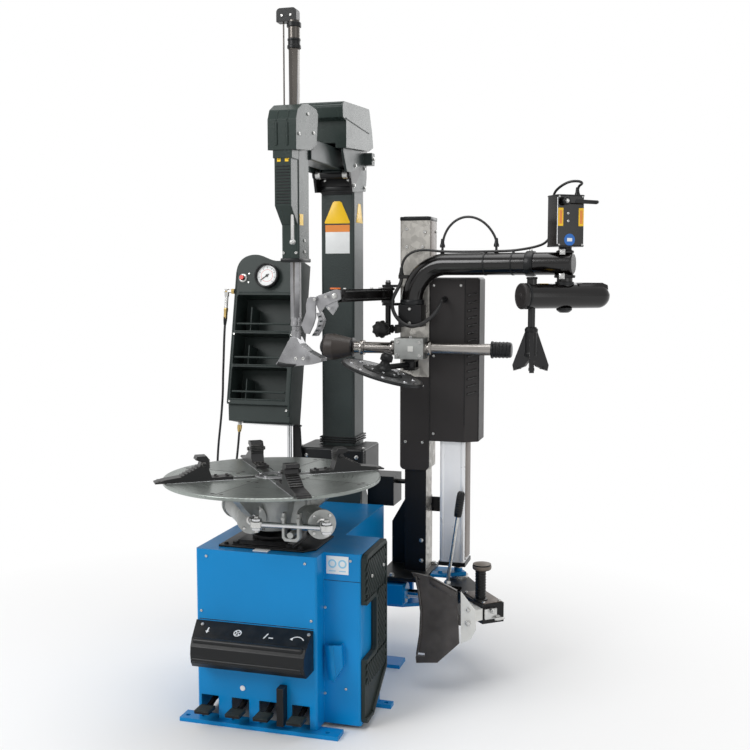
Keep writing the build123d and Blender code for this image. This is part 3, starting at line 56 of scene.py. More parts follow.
class Web:
    """The nodes of one material or group, wired by socket name."""

    def __init__(self, tree):
        self.tree = tree

    def node(self, kind, **sockets):
        made = self.tree.nodes.new("ShaderNode" + kind)
        for name, value in sockets.items():
            self.feed(made.inputs[name.replace("_", " ")], value)
        return made

    def feed(self, socket, value):
        if isinstance(value, bpy.types.NodeSocket):
            self.tree.links.new(value, socket)
        else:
            socket.default_value = value

    def sum(self, operation, first, second=0.0, clamp=False):
        made = self.tree.nodes.new("ShaderNodeMath")
        made.operation = operation
        made.use_clamp = clamp
        self.feed(made.inputs[0], first)
        self.feed(made.inputs[1], second)
        return made.outputs[0]

    def spread(self, value, low, high, out_low, out_high):
        made = self.tree.nodes.new("ShaderNodeMapRange")
        for socket, setting in zip(made.inputs, (value, low, high, out_low, out_high)):
            self.feed(socket, setting)
        return made.outputs[0]

    def blend(self, share, first, second):
        made = self.tree.nodes.new("ShaderNodeMix")
        made.data_type = "RGBA"
        self.feed(made.inputs[0], share)
        self.feed(made.inputs[6], first)
        self.feed(made.inputs[7], second)
        return made.outputs[2]

    def spot(self):
        return self.tree.nodes.new("ShaderNodeTexCoord").outputs["Object"]

    def cloud(self, scale, detail, distortion=0.0, place=None):
        where = self.spot() if place is None else place
        noise = self.node("TexNoise", Vector=where, Scale=scale, Detail=detail, Distortion=distortion)
        return noise.outputs["Fac"]

    def scaled(self, colour, factor):
        made = self.tree.nodes.new("ShaderNodeVectorMath")
        made.operation = "SCALE"
        self.feed(made.inputs[0], colour)
        self.feed(made.inputs["Scale"], factor)
        return made.outputs[0]

    def layer(self, share, under, over, output):
        """Mixes two shaders by a share and shows them as the surface."""
        mixed = self.tree.nodes.new("ShaderNodeMixShader")
        for socket, source in zip(mixed.inputs, (share, under, over)):
            self.feed(socket, source)
        self.feed(output.inputs["Surface"], mixed.outputs[0])

    def use(self, group, **sockets):
        made = self.tree.nodes.new("ShaderNodeGroup")
        made.node_tree = group
        for name, value in sockets.items():
            self.feed(made.inputs[name.replace("_", " ")], value)
        return made


def effect(name, inputs, outputs):
    """An empty group with named sockets, and its two ends."""
    group = bpy.data.node_groups.new(name, "ShaderNodeTree")
    kinds = {"f": "NodeSocketFloat", "c": "NodeSocketColor", "v": "NodeSocketVector"}
    for label, kind, value in inputs:
        socket = group.interface.new_socket(name=label, in_out="INPUT", socket_type=kinds[kind])
        socket.default_value = value
    for label, kind in outputs:
        group.interface.new_socket(name=label, in_out="OUTPUT", socket_type=kinds[kind])
    web = Web(group)
    start = group.nodes.new("NodeGroupInput").outputs
    end = group.nodes.new("NodeGroupOutput").inputs
    return group, web, start, end


def make_paint_drift():
    """Slow changes of tone over a big surface."""
    group, web, start, end = effect(
        "paint drift", [("Colour", "c", WHITE), ("Size", "f", 6), ("Amount", "f", 0.1)], [("Colour", "c")]
    )
    low = web.sum("SUBTRACT", 1.0, start["Amount"])
    high = web.sum("ADD", 1.0, start["Amount"])
    factor = web.spread(web.cloud(start["Size"], 4.0), 0.3, 0.7, low, high)
    web.feed(end["Colour"], web.scaled(start["Colour"], factor))
    return group


def make_hand_gloss():
    """Smears that make the shine uneven."""
    group, web, start, end = effect(
        "hand gloss", [("Roughness", "f", 0.4), ("Spread", "f", 0.1), ("Size", "f", 14)], [("Roughness", "f")]
    )
    smears = web.cloud(start["Size"], 6.0, 0.6)
    shift = web.sum("MULTIPLY", web.sum("SUBTRACT", smears, 0.5), start["Spread"])
    web.feed(end["Roughness"], web.sum("ADD", start["Roughness"], shift, clamp=True))
    return group


def make_orange_peel():
    """Fine grain of paint or a mould, from cells and noise."""
    group, web, start, end = effect("orange peel", [("Size", "f", 300), ("Pebbles", "f", 0.5)],
                                    [("Height", "f")])
    place = web.spot()
    grain = web.cloud(start["Size"], 3.0, place=place)
    cells = web.node("TexVoronoi", Vector=place, Scale=start["Size"])
    cells.feature = "SMOOTH_F1"
    pebbles = web.sum("MULTIPLY", cells.outputs["Distance"], start["Pebbles"])
    web.feed(end["Height"], web.sum("SUBTRACT", grain, pebbles))
    return group


def make_rubbed_edge():
    """A mask along convex edges, broken up where hands and tools rub."""
    group, web, start, end = effect("rubbed edge", [("Width", "f", 0.002), ("Patch", "f", 40)],
                                    [("Mask", "f")])
    bevel = group.nodes.new("ShaderNodeBevel")
    bevel.samples = BEVEL_SAMPLES
    web.feed(bevel.inputs["Radius"], start["Width"])
    facing = group.nodes.new("ShaderNodeVectorMath")
    facing.operation = "DOT_PRODUCT"
    geometry = group.nodes.new("ShaderNodeNewGeometry")
    web.feed(facing.inputs[0], bevel.outputs[0])
    web.feed(facing.inputs[1], geometry.outputs["Normal"])
    edge = web.spread(facing.outputs["Value"], 0.98, 0.80, 0.0, 1.0)
    broken = web.spread(web.cloud(start["Patch"], 5.0), 0.45, 0.62, 0.0, 1.0)
    web.feed(end["Mask"], web.sum("MULTIPLY", edge, broken))
    return group


def make_settled_dust():
    """Dust that lies on faces turned up."""
    group, web, start, end = effect("settled dust", [("Amount", "f", 0.2), ("Size", "f", 30)],
                                    [("Mask", "f")])
    geometry = group.nodes.new("ShaderNodeNewGeometry")
    split = web.node("SeparateXYZ", Vector=geometry.outputs["Normal"])
    up = web.spread(split.outputs["Z"], 0.5, 1.0, 0.0, 1.0)
    patch = web.spread(web.cloud(start["Size"], 8.0), 0.35, 0.75, 0.0, 1.0)
    web.feed(end["Mask"], web.sum("MULTIPLY", web.sum("MULTIPLY", up, patch), start["Amount"], clamp=True))
    return group


PAINT_DRIFT = make_paint_drift()
HAND_GLOSS = make_hand_gloss()
ORANGE_PEEL = make_orange_peel()
RUBBED_EDGE = make_rubbed_edge()
SETTLED_DUST = make_settled_dust()


# ---------------------------------------------------------------- finishes
def finish_of(name, colour, roughness, metal=0.0, peel=(300, 0.5, 0.1), drift=(5, 0.08), spread=0.12,
              rub=(0.0015, 0.0), rubbed=(150, 150, 148), dust=0.06, coat=0.0, rounding=0.0012, shine=0.5):
    """A material with uneven tone and shine, grain, rounded edges, rubbed edges and a little dust.

    peel is grain size, pebbles and height in millimetres; drift is size and amount;
    rub is width and strength."""
    material = bpy.data.materials.new(name)
    material.use_nodes = True
    web = Web(material.node_tree)
    shader = material.node_tree.nodes["Principled BSDF"]
    toned = web.use(PAINT_DRIFT, Colour=tint(*colour), Size=drift[0], Amount=drift[1]).outputs[0]
    if rub[1] > 0:
        edge = web.use(RUBBED_EDGE, Width=rub[0]).outputs[0]
        toned = web.blend(web.sum("MULTIPLY", edge, rub[1]), toned, tint(*rubbed))
    if dust > 0:
        toned = web.blend(web.use(SETTLED_DUST, Amount=dust).outputs[0], toned, tint(*DUST_TONE))
    web.feed(shader.inputs["Base Color"], toned)
    gloss = web.use(HAND_GLOSS, Roughness=roughness, Spread=spread).outputs[0]
    web.feed(shader.inputs["Roughness"], gloss)
    shader.inputs["Metallic"].default_value = metal
    shader.inputs["Specular IOR Level"].default_value = shine
    if coat:
        shader.inputs["Coat Weight"].default_value = coat
        shader.inputs["Coat Roughness"].default_value = COAT_ROUGHNESS
    height = web.use(ORANGE_PEEL, Size=peel[0], Pebbles=peel[1]).outputs[0]
    bump = web.node("Bump", Height=height, Strength=1.0, Distance=peel[2] * MM)
    if rounding:
        bevel = material.node_tree.nodes.new("ShaderNodeBevel")
        bevel.samples = BEVEL_SAMPLES
        bevel.inputs["Radius"].default_value = rounding
        web.feed(bump.inputs["Normal"], bevel.outputs[0])
    web.feed(shader.inputs["Normal"], bump.outputs[0])
    return material


cabinet_blue = finish_of("cabinet_blue", (0, 132, 198), 0.34, peel=(420, 0.4, 0.05), drift=(3, 0.06),
                         coat=0.08, rub=(0.002, 0.22), rubbed=(120, 180, 214), rounding=0.003, shine=0.2)
hammer_green = finish_of("hammer_green", (50, 58, 57), 0.36, peel=(210, 1.2, 0.34), drift=(6, 0.14),
                         coat=0.06, rub=(0.002, 0.35), rubbed=(120, 128, 126), rounding=0.002, shine=0.26)
unit_green = finish_of("unit_green", (46, 56, 53), 0.27, peel=(260, 1.0, 0.16), drift=(6, 0.12), coat=0.05,
                       rub=(0.002, 0.3), rubbed=(120, 128, 126), rounding=0.003, shine=0.22)
tower_green = finish_of("tower_green", (42, 51, 49), 0.42, peel=(700, 0.9, 0.08), drift=(8, 0.12), dust=0.06,
                        rounding=0.003, shine=0.25)
cover_grey = finish_of("cover_grey", (42, 39, 39), 0.42, peel=(800, 0.9, 0.09), drift=(5, 0.20), dust=0.08,
                       rounding=0.003, shine=0.3)
satin_black = finish_of("satin_black", (13, 13, 15), 0.38, peel=(420, 0.6, 0.08), rub=(0.002, 0.35),
                        dust=0.06, shine=0.3)
gloss_black = finish_of("gloss_black", (9, 7, 7), 0.16, peel=(300, 0.3, 0.03), coat=0.15, spread=0.08,
                        dust=0.02, shine=0.4)
moulded_black = finish_of("moulded_black", (15, 17, 19), 0.36, peel=(750, 0.9, 0.06), coat=0.04, dust=0.05,
                          rounding=0.003, shine=0.3)
motor_grey = finish_of("motor_grey", (70, 72, 74), 0.45, dust=0.25)
pad_rubber = finish_of("pad_rubber", (28, 39, 38), 0.5, peel=(900, 0.8, 0.10), spread=0.2, dust=0.10,
                       shine=0.3)
roller_dark = finish_of("roller_dark", (48, 41, 37), 0.42, peel=(600, 0.8, 0.06), spread=0.2, dust=0.08)
knob_plastic = finish_of("knob_plastic", (15, 15, 16), 0.5, peel=(260, 1.2, 0.35), dust=0.06, shine=0.3)
hose_black = finish_of("hose_black", (20, 20, 21), 0.34, peel=(900, 0.5, 0.03), spread=0.1, dust=0.05,
                       rounding=0)
forged_black = finish_of("forged_black", (38, 38, 39), 0.36, metal=0.5, peel=(180, 0.8, 0.15),
                         rub=(0.0025, 0.8), rubbed=(150, 148, 144), dust=0.08)
blade_steel = finish_of("blade_steel", (74, 71, 70), 0.36, metal=0.6, peel=(120, 0.6, 0.12), drift=(14, 0.35),
                        spread=0.35, rub=(0.003, 0.8), rubbed=(170, 168, 164))
tool_steel = finish_of("tool_steel", (150, 150, 152), 0.30, metal=0.9, peel=(150, 0.5, 0.10),
                       drift=(20, 0.22), spread=0.3, rub=(0.002, 0.5), rubbed=(220, 220, 220))
polished = finish_of("polished_rod", (205, 206, 208), 0.13, metal=1.0, peel=(500, 0.2, 0.01), spread=0.12,
                     drift=(9, 0.06), dust=0.0)
bar_steel = finish_of("bar_steel", (158, 154, 150), 0.22, metal=0.95, peel=(400, 0.3, 0.02), spread=0.2,
                      drift=(10, 0.10), dust=0.02)
dark_bar = finish_of("dark_bar", (92, 88, 84), 0.26, metal=0.85, peel=(400, 0.4, 0.03), spread=0.2,
                     drift=(10, 0.14))
zinc_bright = finish_of("zinc_bright", (200, 200, 198), 0.28, metal=0.9, spread=0.25, drift=(40, 0.12),
                        dust=0.03)
drawn_alloy = finish_of("drawn_alloy", (240, 241, 243), 0.30, metal=0.35, peel=(260, 0.2, 0.02), spread=0.15,
                        drift=(6, 0.06), dust=0.0)
cast_alloy = finish_of("cast_alloy", (168, 170, 168), 0.44, metal=0.7, peel=(330, 1.2, 0.35),
                       drift=(18, 0.22), spread=0.25, rub=(0.002, 0.5), rubbed=(215, 215, 213), dust=0.1)
brass_plate = finish_of("brass_plate", (196, 170, 112), 0.28, metal=1.0, drift=(60, 0.15), spread=0.2)
strip_brown = finish_of("strip_brown", (112, 103, 97), 0.42, metal=0.2, drift=(5, 0.2), shine=0.3)
nylon_white = finish_of("nylon_white", (232, 232, 228), 0.42, peel=(300, 0.3, 0.03), drift=(20, 0.05),
                        spread=0.2)
PRINTED_FILM = {"roughness": 0.35, "peel": (300, 0.1, 0.01), "drift": (30, 0.03), "rounding": 0}
sign_yellow = finish_of("sign_yellow", (248, 200, 26), **PRINTED_FILM)
sign_orange = finish_of("sign_orange", (232, 140, 60), **PRINTED_FILM)
sign_white = finish_of("sign_white", (236, 238, 238), **PRINTED_FILM)
sign_blue = finish_of("sign_blue", (20, 104, 190), **PRINTED_FILM)
sign_red = finish_of("sign_red", (214, 44, 30), **PRINTED_FILM)
label_sky = finish_of("label_sky", (150, 206, 232), **PRINTED_FILM)
grip_brown = finish_of("grip_brown", (104, 94, 84), 0.4, peel=(500, 0.6, 0.05), drift=(30, 0.15))
orange_part = finish_of("orange_part", (226, 110, 30), 0.4, peel=(300, 0.4, 0.04), drift=(30, 0.08))


TABLE_Y = -152


def turned_steel():
    """The table's steel: turned rings, four sectors of different tone, scratches from wheels."""
    material = finish_of("turned_steel", (150, 156, 152), 0.30, metal=0.85, drift=(9, 0.10), spread=0.2,
                         rub=(0.002, 0.5), rubbed=(215, 218, 216), dust=0.05)
    web = Web(material.node_tree)
    shader = material.node_tree.nodes["Principled BSDF"]
    ring_density, ring_wander, seam_turn, pit_depth = 900.0, 2.5, 0.157, 0.00006
    centre = web.node("Mapping", Vector=web.spot(), Location=(0, -TABLE_Y * MM, 0))
    split = web.node("SeparateXYZ", Vector=centre.outputs[0])
    radius = web.sum("SQRT", web.sum("ADD", web.sum("POWER", split.outputs["X"], 2.0),
                                     web.sum("POWER", split.outputs["Y"], 2.0)))
    angle = web.sum("ARCTAN2", split.outputs["Y"], split.outputs["X"])
    spun = web.node("CombineXYZ", X=web.sum("MULTIPLY", radius, ring_density),
                    Y=web.sum("MULTIPLY", angle, ring_wander))
    rings = web.cloud(1.0, 5.0, place=spun.outputs[0])
    quarter = web.sum("SINE", web.sum("MULTIPLY", web.sum("ADD", angle, seam_turn), 2.0))
    tone = web.spread(quarter, -0.15, 0.15, 0.86, 1.10)
    streak = web.spread(rings, 0.3, 0.7, 0.82, 1.16)
    scratches = web.cloud(55.0, 12.0, 3.0, place=centre.outputs[0])
    scuff = web.spread(scratches, 0.60, 0.68, 1.0, 1.25)
    factor = web.sum("MULTIPLY", web.sum("MULTIPLY", tone, streak), scuff)
    colour = shader.inputs["Base Color"]
    web.feed(colour, web.scaled(colour.links[0].from_socket, factor))
    web.feed(shader.inputs["Roughness"], web.spread(rings, 0.3, 0.7, 0.24, 0.42))
    bump = shader.inputs["Normal"].links[0].from_node
    web.feed(bump.inputs["Height"], web.sum("ADD", rings, scratches))
    bump.inputs["Distance"].default_value = pit_depth
    return material


def spangled_zinc():
    """Hot-dip zinc with crystals that catch the light differently."""
    material = finish_of("spangled_zinc", (190, 187, 181), 0.36, metal=0.75, drift=(8, 0.08), spread=0.2,
                         rub=(0.002, 0.3), rubbed=(235, 235, 235), dust=0.08, rounding=0.002)
    web = Web(material.node_tree)
    shader = material.node_tree.nodes["Principled BSDF"]
    crystals = web.node("TexVoronoi", Vector=web.spot(), Scale=65.0)
    split = web.node("SeparateColor", Color=crystals.outputs["Color"])
    colour = shader.inputs["Base Color"]
    tone = web.spread(split.outputs[0], 0.0, 1.0, 0.78, 1.10)
    web.feed(colour, web.scaled(colour.links[0].from_socket, tone))
    web.feed(shader.inputs["Roughness"], web.spread(split.outputs[1], 0.0, 1.0, 0.26, 0.5))
    return material


table_steel = turned_steel()
mast_zinc = spangled_zinc()


# ---------------------------------------------------------------- shape kit
def stand(origin, up, along=None):
    """A placing matrix in millimetres: its z is up, its x is along."""
    z = Vector(up).normalized()
    guess = Vector(along) if along else (Vector((1, 0, 0)) if abs(z.x) < 0.9 else Vector((0, 1, 0)))
    x = (guess - z * guess.dot(z)).normalized()
    y = z.cross(x)
    place = Matrix((x, y, z)).transposed().to_4x4()
    place.translation = Vector(origin)
    return place


FRONT = (0, -1, 0)
BACK = (0, 1, 0)
TOP = (0, 0, 1)
RIGHT = (1, 0, 0)
LEFT = (-1, 0, 0)


class Shape:
    """A piece under construction, in millimetres."""

    def __init__(self):
        self.mesh = bmesh.new()

    def take(self, part, place, soften=0.0, steps=2):
        """Adds a part, after its sharp edges are rounded."""
        if soften:
            sharp = [e for e in part.edges if len(e.link_faces) == 2 and e.calc_face_angle() > SHARP_FROM]
            bmesh.ops.bevel(part, geom=sharp, offset=soften, offset_type="OFFSET", segments=steps,
                            profile=0.5, affect="EDGES", clamp_overlap=True, material=-1)
        bmesh.ops.recalc_face_normals(part, faces=part.faces)
        bmesh.ops.transform(part, matrix=place, verts=part.verts)
        held = bpy.data.meshes.new("held")
        part.to_mesh(held)
        part.free()
        self.mesh.from_mesh(held)
        bpy.data.meshes.remove(held)

    def slab(self, place, outline, depth, soften=0.5, steps=2):
        """A flat outline pulled up by a depth."""
        part = bmesh.new()
        face = part.faces.new([part.verts.new((x, y, 0)) for x, y in outline])
        lifted = bmesh.ops.extrude_face_region(part, geom=[face])["geom"]
        moved = [v for v in lifted if isinstance(v, bmesh.types.BMVert)]
        bmesh.ops.translate(part, vec=(0, 0, depth), verts=moved)
        self.take(part, place, soften, steps)

    def brick(self, place, width, height, depth, soften=0.8, steps=2):
        w, h = width / 2, height / 2
        self.slab(place, [(-w, -h), (w, -h), (w, h), (-w, h)], depth, soften, steps)

    def turned(self, place, half, steps=40):
        """A radius and height outline spun round the z axis."""
        part = bmesh.new()
        verts = [part.verts.new((r, 0, z)) for r, z in half]
        edges = [part.edges.new(pair) for pair in zip(verts, verts[1:])]
        bmesh.ops.spin(part, geom=verts + edges, cent=(0, 0, 0), axis=(0, 0, 1), angle=2 * math.pi,
                       steps=steps, use_merge=True)
        bmesh.ops.remove_doubles(part, verts=part.verts, dist=0.001)
        self.take(part, place)

    def ring(self, place, half, steps=40):
        """A closed outline spun round the z axis, open in the middle."""
        self.turned(place, half + half[:1], steps)

    def pin(self, place, radius, length, soften=0.6, steps=24):
        s = min(soften, radius * 0.4)
        half = [(0, 0), (radius - s, 0), (radius, s), (radius, length - s), (radius - s, length), (0, length)]
        self.turned(place, half, steps)

    def bar(self, start, end, radius, soften=0.6):
        run = Vector(end) - Vector(start)
        self.pin(stand(start, run), radius, run.length, soften)

    def bolt(self, at, up, size=8.0, washer=True):
        """A hexagon head on a washer."""
        place = stand(at, up)
        if washer:
            self.pin(place, size * 1.05, size * 0.18, 0.3)
            place = place @ Matrix.Translation((0, 0, size * 0.18))
        reach = size * 0.86
        angles = [side * math.pi / 3 for side in range(6)]
        corners = [(reach * math.cos(a), reach * math.sin(a)) for a in angles]
        self.slab(place, corners, size * 0.6, size * 0.07)

    def bolts(self, spots, up, size=8.0):
        for at in spots:
            self.bolt(at, up, size)

    def socket_screws(self, spots, up, size=5.0):
        for at in spots:
            self.socket_screw(at, up, size)

    def socket_screw(self, at, up, size=5.0):
        """A round head with a socket."""
        half = [(0, size * 0.2), (size * 0.42, size * 0.2), (size * 0.46, size * 0.75),
                (size * 0.85, size * 0.75), (size, size * 0.5), (size, 0), (0, 0)]
        self.turned(stand(at, up), half, 20)

    def done(self, name, body, material, slot):
        """The finished object: metres, shaded, with its finish, riding on its body."""
        bmesh.ops.scale(self.mesh, vec=(MM, MM, MM), verts=self.mesh.verts)
        data = bpy.data.meshes.new(name)
        self.mesh.to_mesh(data)
        self.mesh.free()
        data.polygons.foreach_set("use_smooth", [True] * len(data.polygons))
        data.set_sharp_from_angle(angle=SHADE_SHARP_FROM)
        data.materials.append(material)
        piece = bpy.data.objects.new(name, data)
        bpy.context.scene.collection.objects.link(piece)
        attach(piece, body)
        return piece


# ---------------------------------------------------------------- finishes of the CAD nodes
def coat_node(node, material):
    """Gives a CAD node one finish."""
    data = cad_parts[node].data
    data.materials.clear()
    data.materials.append(material)


def coat_where(node, material, chosen):
    """Gives the faces whose centre passes the test another finish; the test gets millimetres."""
    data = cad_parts[node].data
    data.materials.append(material)
    index = len(data.materials) - 1
    for face in data.polygons:
        x, y, z = face.center / MM
        if chosen(x, y, z):
            face.material_index = index


NODE_COATS = {
    cabinet_blue: ["cabinet_shell", "rear_panel", "breaker_beam", "foot_plates"],
    satin_black: ["pedal_frame", "gearbox_housing", "breaker_arm", "assist_post", "disc_arm",
                  "pedal_1", "pedal_2", "pedal_3", "pedal_4"],
    moulded_black: ["pedal_cover", "base_cover", "inflate_button", "gauge_body", "gauge_needle"],
    cover_grey: ["mast_covers"],
    pad_rubber: ["breaker_pad"],
    motor_grey: ["drive_motor"],
    table_steel: ["turntable_disc"],
    cast_alloy: ["table_hub"],
    polished: ["clamp_rods", "tilt_rod", "breaker_rod"],
    bar_steel: ["roller_bar"],
    forged_black: ["jaw_1", "jaw_2", "jaw_3", "jaw_4", "lifting_disc", "presser_rod"],
    blade_steel: ["breaker_blade"],
    hammer_green: ["column_bracket", "column", "slide_arm"],
    unit_green: ["unit_housing", "unit_cap", "head_cover"],
    tower_green: ["tower_shell"],
    tool_steel: ["slide_bar", "mount_head", "holder_tool"],
    zinc_bright: ["lock_button", "air_fittings"],
    drawn_alloy: ["tilt_cylinder", "lift_cylinder"],
    hose_black: ["inflator_hose", "supply_hose", "arm_hose", "loop_hose", "strap_hose"],
    mast_zinc: ["lift_mast"],
    gloss_black: ["upper_arm", "second_arm", "control_box", "toggle_lever", "holder_arm"],
    roller_dark: ["assist_roller"],
}
for coat, coated in NODE_COATS.items():
    for node in coated:
        coat_node(node, coat)
coat_where("lift_mast", satin_black, lambda x, y, z: y < 384.4)
coat_where("lift_mast", cast_alloy, lambda x, y, z: y < 384.4 and 244 < x < 342 and 1020 < z < 1092)
coat_where("lift_mast", polished, lambda x, y, z: x > 351 and z < 1237)
coat_where("lift_mast", satin_black, lambda x, y, z: x > 348 and z > 1237)
coat_where("column_bracket", polished, lambda x, y, z: x < -136 and 362 < y < 382 and 519 < z < 790)
coat_where("column_bracket", satin_black, lambda x, y, z: -136 <= x < -90 and 519 < z < 790)
coat_where("column", polished, lambda x, y, z: 410 < y < 440 and 1620 < z < 1651 and -60 < x < 50)
coat_where("column", satin_black, lambda x, y, z: y < 478 and 1578 < z < 1641)
coat_where("breaker_blade", nylon_white, lambda x, y, z: x > 521 or (x > 511 and y < 117.9))
coat_where("breaker_arm", zinc_bright, lambda x, y, z: x < 475 and 262 < z < 499)
coat_where("breaker_arm", moulded_black, lambda x, y, z: z >= 499 or (x > 480 and z > 262.5))
coat_where("breaker_arm", grip_brown, lambda x, y, z: x > 480 and z > 381.5)
coat_where("slide_bar", dark_bar, lambda x, y, z: 1700 < z <= 2052)
coat_where("slide_bar", moulded_black, lambda x, y, z: z > 2052)
coat_where("lift_cylinder", satin_black, lambda x, y, z: z < 333)
coat_where("assist_post", mast_zinc, lambda x, y, z: 260 < x < 334 and 398 < y < 482.5 and z > 320)
coat_where("roller_bar", moulded_black, lambda x, y, z: x > 561.5)


# ---------------------------------------------------------------- cabinet
CABINET_Y = -290
SHOULDER_Y = -228


def make_cabinet_trim():
    """Screws, plug, seams, label and pocket facet of the cabinet."""
    screws = Shape()
    shoulder = ((188, 352), (187, 99), (250, 118), (264, 492))
    face = ((-150, 492), (150, 492), (-168, 330), (168, 330))
    screws.socket_screws([(x, SHOULDER_Y, z) for x, z in shoulder], FRONT, 4)
    screws.socket_screws([(x, CABINET_Y, z) for x, z in face], FRONT, 4)
    screws.socket_screws([(312, y, 440) for y in (-180, -60)], RIGHT, 5)
    screws.done("cabinet_screws", "base", zinc_bright, "tool_steel")

    plug = Shape()
    plug.pin(stand((-42, CABINET_Y, 112), FRONT), 8, 3, 1.5)
    plug.brick(stand((10, -262, 512), TOP), 46, 30, 3, 1)
    plug.done("cabinet_plug_and_tab", "base", sign_white, "white_dial")

    seams = Shape()
    seams.brick(stand((0, CABINET_Y, 306), FRONT), 350, 2, 0.4, 0)
    seams.brick(stand((239, SHOULDER_Y, 432), FRONT), 108, 1.4, 0.4, 0)
    seams.done("cabinet_seams", "base", satin_black, "black_paint")

    label = Shape()
    label.brick(stand((225, -228.1, 477), FRONT), 66, 52, 0.5, 0.1)
    label.done("flare_label", "base", sign_white, "white_dial")
    discs = Shape()
    for x in (210, 240):
        discs.ring(stand((x, -228.6, 481), FRONT), [(8, 0), (12.5, 0), (12.5, 0.3), (8, 0.3)], 32)
        discs.brick(stand((x, -228.6, 460), FRONT), 20, 2.5, 0.3, 0)
    discs.done("flare_label_rings", "base", label_sky, "white_dial")

    pocket = Shape()
    pocket.slab(stand((0, -248, 0), FRONT), [(193, 247), (204, 150), (219, 142), (226, 168), (218, 249)], 0.8,
                0.3)
    pocket.done("pocket_facet", "base", cabinet_blue, "blue_paint")


def make_breaker_pad():
    """Pad with a raised frame round its cut-out and diagonal ribs."""
    face = stand((294, 0, 0), RIGHT, BACK)
    outline = [(-226, 28), (-218, 20), (-156, 20), (-12, 114), (-12, 498), (-24, 510), (-214, 510),
               (-226, 498), (-226, 366), (-134, 366), (-126, 356), (-126, 217), (-134, 207), (-226, 207)]
    pad = Shape()
    pad.slab(face, outline, 11, 1.5)
    raised = face @ Matrix.Translation((0, 0, 9))
    strips = [
        [(-226, 366), (-134, 366), (-126, 356), (-126, 217), (-134, 207), (-226, 207), (-226, 195),
         (-128, 195), (-114, 210), (-114, 363), (-128, 378), (-226, 378)],
        [(-226, 498), (-214, 510), (-24, 510), (-12, 498), (-12, 486), (-24, 496), (-212, 496), (-226, 484)],
        [(-12, 114), (-12, 498), (-22, 498), (-22, 120)],
        [(-156, 20), (-12, 114), (-18, 126), (-160, 34)],
        [(-226, 28), (-218, 20), (-156, 20), (-160, 32), (-212, 32), (-214, 36), (-226, 36)],
    ]
    for strip in strips:
        pad.slab(raised, strip, 9, 2.0)
    for step in range(-34, 24):
        shift = step * 22
        for y0, y1, z0, z1 in ((-222, -24, 382, 492), (-222, -24, 126, 192), (-108, -24, 196, 378)):
            low = max(z0, y0 - shift)
            high = min(z1, y1 - shift)
            if high - low > 14:
                rib = [(shift + low - 4, low + 4), (shift + low + 4, low), (shift + high + 4, high - 4),
                       (shift + high - 4, high)]
                pad.slab(raised, rib, 7.5, 1.2)
    piece = pad.done("bead_breaker_pad", "base", pad_rubber, "rubber_pad")
    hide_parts("breaker_pad")


def make_pedal_cover_trim():
    """Pictograms, lips and screws of the pedal cover, and the treads of the pedals."""
    up = (0, -34, 62)
    icons = Shape()

    def spot(x, lift=0.0):
        return stand((x, -322 + lift * 0.877, 284.8 + lift * 0.481), up, RIGHT)

    icons.slab(spot(-134), [(-2, 10), (2, 10), (2, -2), (6, -2), (0, -11), (-6, -2), (-2, -2)], 0.5, 0)
    icons.ring(spot(-42), [(9, 0), (12, 0), (12, 0.5), (9, 0.5)], 36)
    for turn in range(4):
        spoke = spot(-42) @ Matrix.Rotation(math.radians(45 + 90 * turn), 4, "Z")
        icons.slab(spoke, [(2, -1.6), (9.5, -1.6), (9.5, 1.6), (2, 1.6)], 0.5, 0)
    icons.slab(spot(46), [(-8, -9), (-4, -9), (4, 9), (0, 9)], 0.5, 0)
    icons.slab(spot(60), [(-6, -7), (7, -7), (7, -3.5), (-6, -3.5)], 0.5, 0)
    for step in range(7):
        bend = math.radians(40 + step * 16)
        icons.brick(spot(138, -14) @ Matrix.Translation((22 * math.cos(bend), 22 * math.sin(bend), 0))
                    @ Matrix.Rotation(bend + math.pi / 2, 4, "Z"), 7, 2.8, 0.5, 0)
    icons.slab(spot(122, -2), [(-6, 0), (2, 7), (3, -4)], 0.5, 0)
    icons.done("pedal_icons", "base", sign_white, "white_dial")

    lip = Shape()
    lip.bar((-165, -352, 262), (166, -352, 262), 10, 6)
    lip.bar((-165, -364, 212), (166, -364, 212), 7, 4)
    lip.done("pedal_cover_lip", "base", moulded_black, "black_plastic")
    screws = Shape()
    screws.socket_screws([(x, -305, 294) for x in (-158, 166)], up, 5)
    screws.done("pedal_cover_screws", "base", zinc_bright, "tool_steel")

    for number, x in enumerate((-145, -50, 35, 135), 1):
        tread = Shape()
        tread.brick(stand((x, -326.5, 53), TOP), 46, 49, 2.4, 1)
        for y in range(-345, -309, 7):
            tread.brick(stand((x, y, 55), TOP), 40, 3, 1.6, 0.5)
        tread.done(f"pedal_tread_{number}", f"pedal_body_{number}", pad_rubber, "rubber_pad")


make_cabinet_trim()
make_breaker_pad()
make_pedal_cover_trim()


# ---------------------------------------------------------------- table, hub and jaws
CYLINDER_TURN = math.radians(-54)
JAW_TURN = 36
TABLE_TOP = 708


def hub_point(along, across, z):
    """A point under the table, measured along and across the clamp cylinders."""
    c, s = math.cos(CYLINDER_TURN), math.sin(CYLINDER_TURN)
    return (along * c - across * s, TABLE_Y + along * s + across * c, z)


def table_turned(degrees, z=TABLE_TOP):
    """A place on the table's axis, turned about it."""
    return stand((0, TABLE_Y, z), TOP) @ Matrix.Rotation(math.radians(degrees), 4, "Z")


